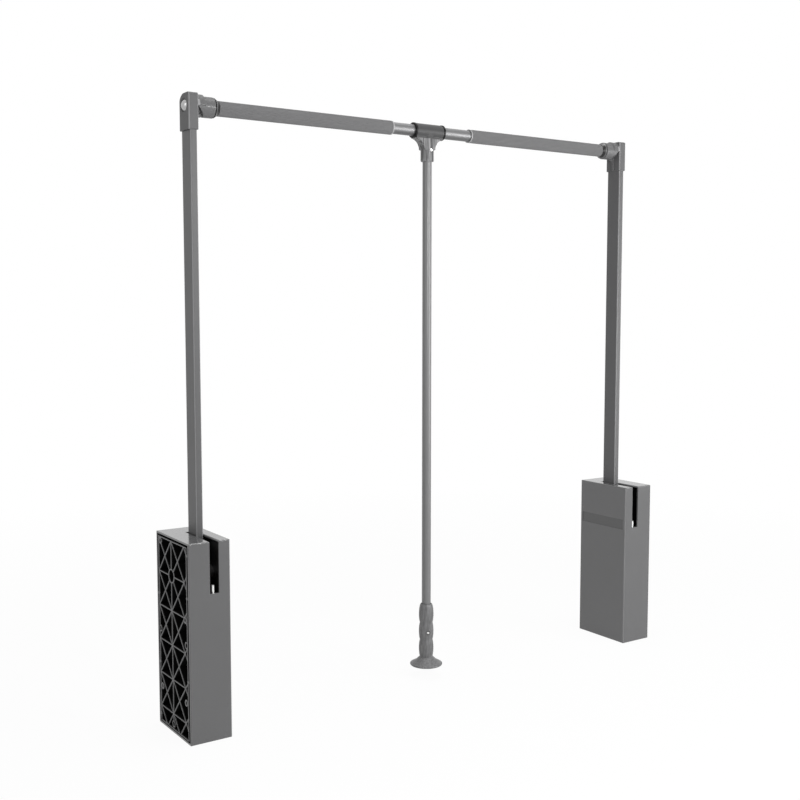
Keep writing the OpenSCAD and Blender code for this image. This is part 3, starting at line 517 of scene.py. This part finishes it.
def painted_tube(name, colour, stretch, roughness, coat, relief=0.15, specular=0.5):
    """Powder coat on a drawn tube: faint lengthwise bands under an orange-peel skin."""
    tree, shader, place = start_material(name)
    grained = group_node(tree, "moulded_grain", place, {"Grain Scale": 900.0, "Patch Scale": 12.0})
    drawn = group_node(tree, "drawn_streaks", place, {"Stretch": stretch, "Scale": 500.0})
    tint = colour_between(tree, drawn.outputs["Bands"], scaled(colour, 0.92), scaled(colour, 1.08))
    tree.links.new(tint, shader.inputs["Base Color"])
    gloss = value_between(tree, grained.outputs["Patches"], roughness - 0.05, roughness + 0.07)
    tree.links.new(gloss, shader.inputs["Roughness"])
    shader.inputs["Coat Weight"].default_value = coat
    shader.inputs["Coat Roughness"].default_value = 0.3
    shader.inputs["Specular IOR Level"].default_value = specular
    bump_on(tree, shader, grained.outputs["Height"], relief, 0.00002)
    return tree, shader


def arm_paint(name, colour, stretch):
    """Arm paint, with painted highlights as lighter lines along the corners of the tube."""
    tree, shader = painted_tube(name, colour, stretch, roughness=0.4, coat=0.0, relief=0.04, specular=0.35)
    across = sorted(abs(x) for x in span("left_arm_tube", 0))
    # Painted highlights along the arm's upright corners
    edge_highlight = scaled(colour, 2.3)
    lighten_corners(tree, shader, edge_highlight, across, span("left_arm_tube", 1), ARM_LINE)


def ribbed_paint(name, colour, stretch, dark):
    """Grey on the ribbed tubes, with a dark ring painted as shade in the groove where the ribs end at the
    collar.
    """
    tree, shader = painted_tube(name, colour, stretch, roughness=0.7, coat=0.0, relief=0.05, specular=0.15)
    ring = rib_start("left")
    # Painted shade in the groove at the end of the ribs
    tinted(tree, shader, between(tree, away_from_middle(tree), ring, ring + RIB_END_RING), dark)


def brushed_metal(name, colour, stretch, roughness):
    """Bare or plated metal with fine streaks along the given stretch."""
    tree, shader, place = start_material(name)
    drawn = group_node(tree, "drawn_streaks", place, {"Stretch": stretch, "Scale": 1200.0})
    tint = colour_between(tree, drawn.outputs["Bands"], scaled(colour, 0.93), scaled(colour, 1.05))
    tree.links.new(tint, shader.inputs["Base Color"])
    gloss = value_between(tree, drawn.outputs["Streaks"], roughness - 0.08, roughness + 0.1)
    tree.links.new(gloss, shader.inputs["Roughness"])
    shader.inputs["Metallic"].default_value = 1.0
    bump_on(tree, shader, drawn.outputs["Streaks"], 0.25, 0.00002)
    return tree, shader


def nickel_plate(name, bright, dull):
    """Nickel on the screws: bright on the pull rod's small screws, dull on the big bolts at the corners."""
    tree, shader = brushed_metal(name, bright, (1, 1, 1), roughness=0.26)
    corner = abs(centre("left_connector_bolt").x)
    reach = 0.05
    tinted(tree, shader, between(tree, away_from_middle(tree), corner - reach, corner + reach), dull)


def make_materials(colours):
    """One finish for each material slot of the record, and one more for the tee."""
    moulded_grain_group()
    drawn_streaks_group()
    edge_highlight_group()
    wall_x = CAD_BOX[1][0]
    along = (0.02, 1, 1)
    upright = (1, 1, 0.02)
    even = (1, 1, 1)
    cover_plastic("cover_plastic", colours.cover, colours.base)
    rib_plastic("base_plastic", colours.base, colours.rib_edge, wall_x)
    connector_plastic("connector_plastic", colours.casting)
    collar_plastic("collar_plastic", colours.casting, colours.black)
    tee_plastic("tee_plastic", colours.casting)
    grained_plastic("grip_plastic", colours.grip)
    moulded_plastic("black_plastic", colours.black, roughness=0.45, depth=0.00002, specular=0.25)
    moulded_plastic("guide_plastic", colours.pale, roughness=0.35, depth=0.00002)
    arm_paint("arm_paint", colours.arm, upright)
    ribbed_paint("ribbed_metal", colours.ribbed, along, colours.black)
    painted_tube("pull_paint", colours.pull, upright, roughness=0.3, coat=0.25)
    painted_tube("black_paint", colours.black, upright, roughness=0.4, coat=0.15)
    brushed_metal("bright_metal", colours.bright, along, roughness=0.45)
    nickel_plate("nickel", colours.plated, colours.bolt)
    brushed_metal("zinc_screw", colours.plated, upright, roughness=0.3)
    brushed_metal("steel", colours.steel, even, roughness=0.35)
    brushed_metal("spring_steel", scaled(colours.steel, 0.6), even, roughness=0.4)


# Mesh helpers

def finish_piece(piece, body, material, *nodes, finish=None):
    """Gives a piece its finish, its body and the nodes that it stands for."""
    piece.data.materials.clear()
    piece.data.materials.append(FINISHES[finish or material])
    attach(piece, body)
    if nodes:
        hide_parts(*nodes)


def object_from(mesh, name):
    piece = bpy.data.objects.new(name, mesh)
    bpy.context.scene.collection.objects.link(piece)
    return piece


def plain_mesh(piece, name):
    """Turns what the modifiers make into a plain mesh on a new object, and removes the old one."""
    graph = bpy.context.evaluated_depsgraph_get()
    mesh = bpy.data.meshes.new_from_object(piece.evaluated_get(graph))
    bpy.data.objects.remove(piece)
    mesh.name = name
    return object_from(mesh, name)


def shade_smooth(piece, angle=None):
    for polygon in piece.data.polygons:
        polygon.use_smooth = True
    if angle is not None:
        piece.data.set_sharp_from_angle(angle=angle)


def softened(node, name, voxel, passes):
    """A copy of a CAD node remeshed finely and smoothed, so that its corners blend as a moulding's do."""
    source = frame["nodes"][node]
    shape = bmesh.new()
    shape.from_mesh(source.data)
    bmesh.ops.remove_doubles(shape, verts=shape.verts, dist=WELD)
    mesh = bpy.data.meshes.new(name)
    shape.to_mesh(mesh)
    shape.free()
    piece = object_from(mesh, name + "_rough")
    remesh = piece.modifiers.new("voxels", "REMESH")
    remesh.mode = "VOXEL"
    remesh.voxel_size = voxel
    smooth = piece.modifiers.new("soften", "SMOOTH")
    smooth.factor = 0.5
    smooth.iterations = passes
    piece = plain_mesh(piece, name)
    thin = piece.modifiers.new("thin", "DECIMATE")
    thin.ratio = min(1.0, MOULDING_TRIANGLES / (2 * len(piece.data.polygons)))
    piece = plain_mesh(piece, name)
    shade_smooth(piece)
    return piece


def revolved(name, profile, place, around, ripple=None):
    """A solid turned about an upright axis from rows of radius and height. ripple changes the radius."""
    shape = bmesh.new()
    rings = []
    for row, (radius, height) in enumerate(profile):
        ring = []
        if radius == 0:
            ring.append(shape.verts.new((place.x, place.y, height)))
        else:
            for step in range(around):
                angle = 2 * math.pi * step / around
                reach = radius + (ripple(row, angle) if ripple else 0)
                ring.append(shape.verts.new(
                    (place.x + reach * math.cos(angle), place.y + reach * math.sin(angle), height)))
        rings.append(ring)
    for lower, upper in zip(rings, rings[1:]):
        for step in range(around):
            after = (step + 1) % around
            corners = [lower[step % len(lower)], lower[after % len(lower)],
                       upper[after % len(upper)], upper[step % len(upper)]]
            face = list(dict.fromkeys(corners))
            if len(face) > 2:
                shape.faces.new(face)
    bmesh.ops.recalc_face_normals(shape, faces=shape.faces)
    mesh = bpy.data.meshes.new(name)
    shape.to_mesh(mesh)
    shape.free()
    return object_from(mesh, name)


# Geometry node trees

def new_tree(name, inputs):
    tree = bpy.data.node_groups.new(name, "GeometryNodeTree")
    for title, kind in inputs:
        tree.interface.new_socket(title, in_out="INPUT", socket_type=kind)
    tree.interface.new_socket("Geometry", in_out="OUTPUT", socket_type="NodeSocketGeometry")
    return tree, tree.nodes.new("NodeGroupInput"), tree.nodes.new("NodeGroupOutput")


def end_tree(tree, geometry, source, sink):
    realised = tree.nodes.new("GeometryNodeRealizeInstances")
    painted = tree.nodes.new("GeometryNodeSetMaterial")
    tree.links.new(geometry, realised.inputs["Geometry"])
    tree.links.new(realised.outputs["Geometry"], painted.inputs["Geometry"])
    tree.links.new(source.outputs["Material"], painted.inputs["Material"])
    tree.links.new(painted.outputs["Geometry"], sink.inputs["Geometry"])


def maths(tree, operation, *values):
    made = tree.nodes.new("ShaderNodeMath")
    made.operation = operation
    for index, value in enumerate(values):
        if isinstance(value, (int, float)):
            made.inputs[index].default_value = value
        else:
            tree.links.new(value, made.inputs[index])
    return made.outputs[0]


def ribbed_skin_tree():
    """Skin of a tube along X with fine ribs: a circle whose radius waves, swept along a line."""
    tree, source, sink = new_tree("ribbed_skin", [
        ("Start", "NodeSocketVector"), ("End", "NodeSocketVector"), ("Radius", "NodeSocketFloat"),
        ("Rib Height", "NodeSocketFloat"), ("Rib Count", "NodeSocketInt"),
        ("Material", "NodeSocketMaterial")])
    links = tree.links
    line = tree.nodes.new("GeometryNodeCurvePrimitiveLine")
    links.new(source.outputs["Start"], line.inputs["Start"])
    links.new(source.outputs["End"], line.inputs["End"])
    circle = tree.nodes.new("GeometryNodeCurvePrimitiveCircle")
    points = maths(tree, "MULTIPLY", source.outputs["Rib Count"], POINTS_PER_RIB)
    links.new(points, circle.inputs["Resolution"])
    links.new(source.outputs["Radius"], circle.inputs["Radius"])
    place = tree.nodes.new("GeometryNodeInputPosition")
    parts = tree.nodes.new("ShaderNodeSeparateXYZ")
    links.new(place.outputs[0], parts.inputs[0])
    angle = maths(tree, "ARCTAN2", parts.outputs["Y"], parts.outputs["X"])
    wave = maths(tree, "COSINE", maths(tree, "MULTIPLY", angle, source.outputs["Rib Count"]))
    fullness = 0.6
    crest = maths(tree, "POWER", maths(tree, "MULTIPLY_ADD", wave, 0.5, 0.5), fullness)
    reach = maths(tree, "DIVIDE", maths(tree, "MULTIPLY", crest, source.outputs["Rib Height"]),
                  source.outputs["Radius"])
    grow = maths(tree, "ADD", reach, 1.0)
    scaled_place = tree.nodes.new("ShaderNodeVectorMath")
    scaled_place.operation = "SCALE"
    links.new(place.outputs[0], scaled_place.inputs[0])
    links.new(grow, scaled_place.inputs["Scale"])
    moved = tree.nodes.new("GeometryNodeSetPosition")
    links.new(circle.outputs[0], moved.inputs["Geometry"])
    links.new(scaled_place.outputs[0], moved.inputs["Position"])
    swept = tree.nodes.new("GeometryNodeCurveToMesh")
    swept.inputs["Fill Caps"].default_value = True
    links.new(line.outputs[0], swept.inputs["Curve"])
    links.new(moved.outputs[0], swept.inputs["Profile Curve"])
    end_tree(tree, swept.outputs[0], source, sink)
    return tree


def coil_tree():
    """Return spring: a spiral swept with the wire's circle."""
    tree, source, sink = new_tree("coil", [
        ("Place", "NodeSocketVector"), ("Radius", "NodeSocketFloat"), ("Wire", "NodeSocketFloat"),
        ("Height", "NodeSocketFloat"), ("Turns", "NodeSocketFloat"), ("Material", "NodeSocketMaterial")])
    links = tree.links
    spiral = tree.nodes.new("GeometryNodeCurveSpiral")
    spiral.inputs["Resolution"].default_value = 20
    links.new(source.outputs["Turns"], spiral.inputs["Rotations"])
    links.new(source.outputs["Radius"], spiral.inputs["Start Radius"])
    links.new(source.outputs["Radius"], spiral.inputs["End Radius"])
    links.new(source.outputs["Height"], spiral.inputs["Height"])
    wire = tree.nodes.new("GeometryNodeCurvePrimitiveCircle")
    wire.inputs["Resolution"].default_value = 10
    links.new(source.outputs["Wire"], wire.inputs["Radius"])
    swept = tree.nodes.new("GeometryNodeCurveToMesh")
    swept.inputs["Fill Caps"].default_value = True
    links.new(spiral.outputs[0], swept.inputs["Curve"])
    links.new(wire.outputs[0], swept.inputs["Profile Curve"])
    moved = tree.nodes.new("GeometryNodeTransform")
    links.new(swept.outputs[0], moved.inputs["Geometry"])
    links.new(source.outputs["Place"], moved.inputs["Translation"])
    end_tree(tree, moved.outputs[0], source, sink)
    return tree


def grow_tree(name, tree, values):
    """Runs a geometry node tree with its inputs set by identifier, and keeps the plain mesh."""
    piece = object_from(bpy.data.meshes.new(name + "_seed"), name + "_seed")
    modifier = piece.modifiers.new("tree", "NODES")
    modifier.node_group = tree
    for item in tree.interface.items_tree:
        if item.in_out == "INPUT":
            modifier[item.identifier] = values[item.name]
    return plain_mesh(piece, name)


def face_outwards(piece):
    shape = bmesh.new()
    shape.from_mesh(piece.data)
    bmesh.ops.remove_doubles(shape, verts=shape.verts, dist=WELD)
    bmesh.ops.recalc_face_normals(shape, faces=shape.faces)
    shape.to_mesh(piece.data)
    shape.free()


def rays_that_see_white(tree):
    """Camera, glossy and transmission rays, which see the white backdrop."""
    path = tree.nodes.new("ShaderNodeLightPath")
    first = add_node(tree, "ShaderNodeMath", operation="MAXIMUM")
    both = add_node(tree, "ShaderNodeMath", operation="MAXIMUM")
    tree.links.new(path.outputs["Is Camera Ray"], first.inputs[0])
    tree.links.new(path.outputs["Is Glossy Ray"], first.inputs[1])
    tree.links.new(first.outputs[0], both.inputs[0])
    tree.links.new(path.outputs["Is Transmission Ray"], both.inputs[1])
    return both.outputs[0]


# Operators, one for each piece or group of like pieces

class RAIL_OT_stage(bpy.types.Operator):
    """Camera, floor, backdrop and studio light"""
    bl_idname = "rail.stage"
    bl_label = "Stage"

    def execute(self, context):
        sizes = context.scene.rail_sizes
        colours = context.scene.rail_colours
        data = bpy.data.cameras.new("camera")
        data.sensor_width = SENSOR
        data.lens = sizes.focal_pixels / IMAGE_SIDE * SENSOR
        camera = bpy.data.objects.new("camera", data)
        camera.location = sizes.camera_place
        camera.rotation_euler = Euler((math.pi / 2 + sizes.camera_tilt, 0, -sizes.camera_heading))
        context.scene.collection.objects.link(camera)
        context.scene.camera = camera
        context.scene.view_settings.view_transform = "Standard"
        self.make_floor(tuple(colours.floor))
        self.make_world(context)
        self.make_lamps(context)
        return {"FINISHED"}

    def make_floor(self, colour):
        """A plain pale floor that the camera sees nearly white, and that keeps the shadow."""
        reach = 6.0
        level = -0.0002
        mesh = bpy.data.meshes.new("floor")
        corners = [(x * reach, y * reach, level) for x, y in ((-1, -1), (1, -1), (1, 1), (-1, 1))]
        mesh.from_pydata(corners, [], [(0, 1, 2, 3)])
        floor = object_from(mesh, "floor")
        tree, shader, place = start_material("floor_paint")
        shader.inputs["Base Color"].default_value = (*colour, 1)
        shader.inputs["Roughness"].default_value = 0.8
        glow = tree.nodes.new("ShaderNodeEmission")
        away = add_node(tree, "ShaderNodeVectorMath", operation="LENGTH")
        tree.links.new(place, away.inputs[0])
        near = add_node(tree, "ShaderNodeMapRange", {
            "From Min": 0.7, "From Max": 1.8, "To Min": 0.95, "To Max": 1.0})
        tree.links.new(away.outputs["Value"], near.inputs["Value"])
        share = add_node(tree, "ShaderNodeMath", operation="MULTIPLY")
        mixed = tree.nodes.new("ShaderNodeMixShader")
        tree.links.new(rays_that_see_white(tree), share.inputs[0])
        tree.links.new(near.outputs["Result"], share.inputs[1])
        tree.links.new(share.outputs[0], mixed.inputs[0])
        tree.links.new(shader.outputs[0], mixed.inputs[1])
        tree.links.new(glow.outputs[0], mixed.inputs[2])
        tree.links.new(mixed.outputs[0], tree.nodes["Material Output"].inputs["Surface"])
        mesh.materials.append(FINISHES["floor_paint"])

    def make_world(self, context):
        """Soft fill light from the world, shown white to the camera."""
        world = bpy.data.worlds.new("studio")
        context.scene.world = world
        world.use_nodes = True
        tree = world.node_tree
        dim = tree.nodes["Background"]
        dim.inputs["Color"].default_value = (1, 1, 1, 1)
        dim.inputs["Strength"].default_value = 0.26
        white = tree.nodes.new("ShaderNodeBackground")
        white.inputs["Color"].default_value = (1, 1, 1, 1)
        white.inputs["Strength"].default_value = 1.0
        mixed = tree.nodes.new("ShaderNodeMixShader")
        tree.links.new(rays_that_see_white(tree), mixed.inputs[0])
        tree.links.new(dim.outputs[0], mixed.inputs[1])
        tree.links.new(white.outputs[0], mixed.inputs[2])
        tree.links.new(mixed.outputs[0], tree.nodes["World Output"].inputs["Surface"])

    def make_lamps(self, context):
        """A broad lamp overhead, soft boxes at the front right and left, and three small lamps."""
        target = Vector((0, 0, 0.4))
        # Name, place, size in metres and power in watts
        lamps = [
            ("overhead", (0.2, 0.1, 3.0), 1.4, 32.0),
            ("front_right", (1.05, -1.25, 0.55), 0.8, 13.0),
            ("front", (0.33, -1.43, 0.96), 0.2, 4.0),
            ("left", (-3.4, -0.9, 0.7), 1.2, 5.0),
            ("middle", (-0.3, -1.15, 0.75), 0.3, 4.8),
            ("edge", (-1.77, -0.59, 1.2), 0.25, 1.8),
        ]
        for name, place, size, power in lamps:
            data = bpy.data.lights.new(name, "AREA")
            data.size = size
            data.energy = power
            lamp = bpy.data.objects.new(name, data)
            lamp.location = place
            lamp.rotation_euler = (target - Vector(place)).to_track_quat("-Z", "Y").to_euler()
            context.scene.collection.objects.link(lamp)


class RAIL_OT_frame_finishes(bpy.types.Operator):
    """Finishes on the pieces carried over from the frame"""
    bl_idname = "rail.frame_finishes"
    bl_label = "Frame finishes"

    def execute(self, context):
        make_materials(context.scene.rail_colours)
        for entry in frame["record"]["subparts"]:
            node = frame["nodes"][entry["node"]]
            node.data.materials.clear()
            node.data.materials.append(FINISHES[entry["material_slot"]])
        return {"FINISHED"}


class RAIL_OT_connectors(bpy.types.Operator):
    """Softly blended corner connectors"""
    bl_idname = "rail.connectors"
    bl_label = "Corner connectors"

    def execute(self, context):
        voxel = context.scene.rail_sizes.voxel
        for side in SIDES:
            piece = softened(side + "_connector", side + "_connector_moulding", voxel, passes=5)
            finish_piece(piece, side + "_arm", "connector_plastic", side + "_connector")
        return {"FINISHED"}


class RAIL_OT_tee(bpy.types.Operator):
    """Softly blended tee"""
    bl_idname = "rail.tee"
    bl_label = "Tee"

    def execute(self, context):
        piece = softened("tee", "tee_moulding", context.scene.rail_sizes.voxel, passes=8)
        finish_piece(piece, "pull_rod", "connector_plastic", "tee", finish="tee_plastic")
        return {"FINISHED"}


class RAIL_OT_outer_tubes(bpy.types.Operator):
    """Outer tubes with fine ribs along them"""
    bl_idname = "rail.outer_tubes"
    bl_label = "Outer tubes"

    def execute(self, context):
        sizes = context.scene.rail_sizes
        tree = ribbed_skin_tree()
        for side in SIDES:
            sign = mirror_sign(side)
            mouth, root = sorted(abs(x) for x in span(side + "_outer_tube", 0))
            front, back = span(side + "_outer_tube", 1)
            end = rib_start(side)
            radius = (back - front) / 2 - sizes.rib_height
            stretches = (("ribs", mouth, end, sizes.rib_height), ("neck", end, root, 0.0))
            parts = []
            for name, near, far, height in stretches:
                parts.append(grow_tree(side + "_" + name, tree, {
                    "Start": (sign * near, RAIL.y, RAIL.z), "End": (sign * far, RAIL.y, RAIL.z),
                    "Radius": radius, "Rib Height": height, "Rib Count": sizes.rib_count,
                    "Material": FINISHES["ribbed_metal"]}))
            piece = self.joined(parts, side + "_ribbed_tube")
            wall = piece.modifiers.new("wall", "SOLIDIFY")
            wall.thickness = TUBE_WALL
            wall.offset = -1
            piece = plain_mesh(piece, side + "_ribbed_tube")
            shade_smooth(piece, SOFT_ANGLE)
            finish_piece(piece, side + "_arm", "ribbed_metal", side + "_outer_tube")
        return {"FINISHED"}

    def joined(self, parts, name):
        """Joins capped skins, turns their normals outwards and takes the caps off."""
        shape = bmesh.new()
        for part in parts:
            shape.from_mesh(part.data)
            bpy.data.objects.remove(part)
        bmesh.ops.remove_doubles(shape, verts=shape.verts, dist=WELD)
        bmesh.ops.recalc_face_normals(shape, faces=shape.faces)
        caps = [face for face in shape.faces if len(face.verts) > 4]
        bmesh.ops.delete(shape, geom=caps, context="FACES")
        mesh = bpy.data.meshes.new(name)
        shape.to_mesh(mesh)
        shape.free()
        return object_from(mesh, name)


class RAIL_OT_springs(bpy.types.Operator):
    """Coil springs round the struts"""
    bl_idname = "rail.springs"
    bl_label = "Return springs"

    def execute(self, context):
        sizes = context.scene.rail_sizes
        tree = coil_tree()
        for side in SIDES:
            low, high = span(side + "_spring", 2)
            middle = centre(side + "_spring")
            left_end, right_end = span(side + "_spring", 0)
            wire = sizes.wire_radius
            slack = 0.0001
            piece = grow_tree(side + "_coil", tree, {
                "Place": (middle.x, middle.y, low + wire), "Height": high - low - 2 * wire,
                "Radius": (right_end - left_end) / 2 - wire - slack, "Wire": wire - slack,
                "Turns": float(sizes.spring_turns), "Material": FINISHES["spring_steel"]})
            face_outwards(piece)
            shade_smooth(piece, SOFT_ANGLE)
            finish_piece(piece, side + "_housing", "spring_steel", side + "_spring")
            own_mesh(piece)
        return {"FINISHED"}


class RAIL_OT_grip(bpy.types.Operator):
    """Grip with three swellings and fine flutes"""
    bl_idname = "rail.grip"
    bl_label = "Grip"

    def execute(self, context):
        sizes = context.scene.rail_sizes
        low, high = span("grip", 2)
        rim = 0.003
        swell = 0.00145
        fullness = 0.8
        fade = 2.2
        mouth = 0.0082
        steps = 60
        top = high - rim
        profile = [(PULL_BORE, low)]
        waves = []
        for step in range(steps + 1):
            height = low + (top - low) * step / steps
            wave = abs(math.sin(3 * math.pi * step / steps))
            profile.append((GRIP_WAIST + swell * wave ** fullness, height))
            waves.append(wave)
        profile += [(GRIP_WAIST - 0.0002, top + 0.0008), (GRIP_WAIST - 0.0009, top + 0.0022),
                    (GRIP_WAIST - 0.0013, high - 0.0002), (GRIP_WAIST - 0.0017, high)]
        profile += [(mouth + 0.0002, high), (mouth, high - 0.0003), (mouth, top)]
        profile += [(PULL_BORE, top), (PULL_BORE, low)]

        def flutes(row, angle):
            """Flutes that fade out at the waists and stop at the ends."""
            if row < 1 or row > steps:
                return 0
            depth = sizes.flute_depth * min(1.0, fade * waves[row - 1])
            return -depth * (0.5 + 0.5 * math.cos(sizes.grip_flutes * angle))

        around = POINTS_PER_FLUTE * sizes.grip_flutes
        piece = revolved("grip_moulding", profile, centre("grip"), around, flutes)
        face_outwards(piece)
        piece = self.recessed(piece)
        shade_smooth(piece, SOFT_ANGLE)
        finish_piece(piece, "pull_rod", "grip_plastic", "grip")
        return {"FINISHED"}

    def recessed(self, piece):
        """Cuts the round recess that the grip's screw lies in."""
        floor = 0.009
        length = 0.008
        screw = centre("grip_screw")
        rod = centre("grip")
        outwards = Vector((screw.x - rod.x, screw.y - rod.y, 0)).normalized()
        start = Vector((rod.x, rod.y, screw.z)) + outwards * floor
        shape = bmesh.new()
        bmesh.ops.create_cone(shape, cap_ends=True, segments=48, radius1=SCREW_RECESS,
                              radius2=SCREW_RECESS, depth=length)
        turn = outwards.to_track_quat("Z", "Y").to_matrix().to_4x4()
        bmesh.ops.transform(shape, matrix=turn, verts=shape.verts)
        bmesh.ops.translate(shape, vec=start + outwards * length / 2, verts=shape.verts)
        mesh = bpy.data.meshes.new("recess")
        shape.to_mesh(mesh)
        shape.free()
        cutter = object_from(mesh, "recess")
        cut = piece.modifiers.new("recess", "BOOLEAN")
        cut.operation = "DIFFERENCE"
        cut.solver = "EXACT"
        cut.object = cutter
        piece = plain_mesh(piece, "grip_moulding")
        bpy.data.objects.remove(cutter)
        return piece


class RAIL_OT_foot(bpy.types.Operator):
    """Flared foot under the grip"""
    bl_idname = "rail.foot"
    bl_label = "Foot"

    def execute(self, context):
        low, high = span("foot", 2)
        rim = (span("foot", 0)[1] - span("foot", 0)[0]) / 2
        neck = GRIP_WAIST
        bore = PULL_BORE
        knee = (neck + 0.007, high - 0.0065)
        # Rows of radius and height, from the middle of the underside to the bore
        under = [(0, low + 0.003), (rim - 0.008, low + 0.0026), (rim - 0.0045, low + 0.0012),
                 (rim - 0.0025, low + 0.0001), (rim - 0.0015, low)]
        lip = [(rim - 0.0015 + 0.0015 * math.sin(turn), low + 0.0015 - 0.0015 * math.cos(turn))
               for turn in (math.radians(step * 15) for step in range(1, 7))]
        crown = [(rim, low + 0.0022), (rim - 0.0003, low + 0.0027), (rim - 0.0010, low + 0.0031)]
        slope = [(knee[0] + 0.0012, knee[1] - 0.0006), (knee[0] + 0.0004, knee[1] - 0.0001),
                 (knee[0] - 0.0004, knee[1] + 0.0004), (neck + 0.0006, high - 0.0005)]
        top = [(neck + 0.0001, high), (bore, high), (bore, high - 0.004), (0, high - 0.004)]
        piece = revolved("foot_moulding", under + lip + crown + slope + top, centre("foot"), around=96)
        shade_smooth(piece, FOOT_ANGLE)
        finish_piece(piece, "pull_rod", "grip_plastic", "foot")
        return {"FINISHED"}


class RAIL_PT_panel(bpy.types.Panel):
    """Lists the rail's pieces"""
    bl_idname = "RAIL_PT_panel"
    bl_label = "Wardrobe rail"
    bl_space_type = "VIEW_3D"
    bl_region_type = "UI"
    bl_category = "Wardrobe rail"

    def draw(self, context):
        for operator in OPERATORS:
            self.layout.operator(operator.bl_idname)
        for group in (context.scene.rail_sizes, context.scene.rail_colours):
            for name in group.__annotations__:
                self.layout.prop(group, name)


OPERATORS = (RAIL_OT_stage, RAIL_OT_frame_finishes, RAIL_OT_connectors, RAIL_OT_tee, RAIL_OT_outer_tubes,
             RAIL_OT_springs, RAIL_OT_grip, RAIL_OT_foot)
CLASSES = (RailSizes, RailColours, *OPERATORS, RAIL_PT_panel)


def register():
    for item in CLASSES:
        bpy.utils.register_class(item)
    bpy.types.Scene.rail_sizes = bpy.props.PointerProperty(type=RailSizes)
    bpy.types.Scene.rail_colours = bpy.props.PointerProperty(type=RailColours)


def unregister():
    del bpy.types.Scene.rail_colours
    del bpy.types.Scene.rail_sizes
    for item in reversed(CLASSES):
        bpy.utils.unregister_class(item)


def main():
    register()
    bpy.ops.rail.stage()
    bpy.ops.rail.frame_finishes()
    bpy.ops.rail.connectors()
    bpy.ops.rail.tee()
    bpy.ops.rail.outer_tubes()
    bpy.ops.rail.springs()
    bpy.ops.rail.grip()
    bpy.ops.rail.foot()
    bpy.context.view_layer.update()


if __name__ == "__main__":
    main()
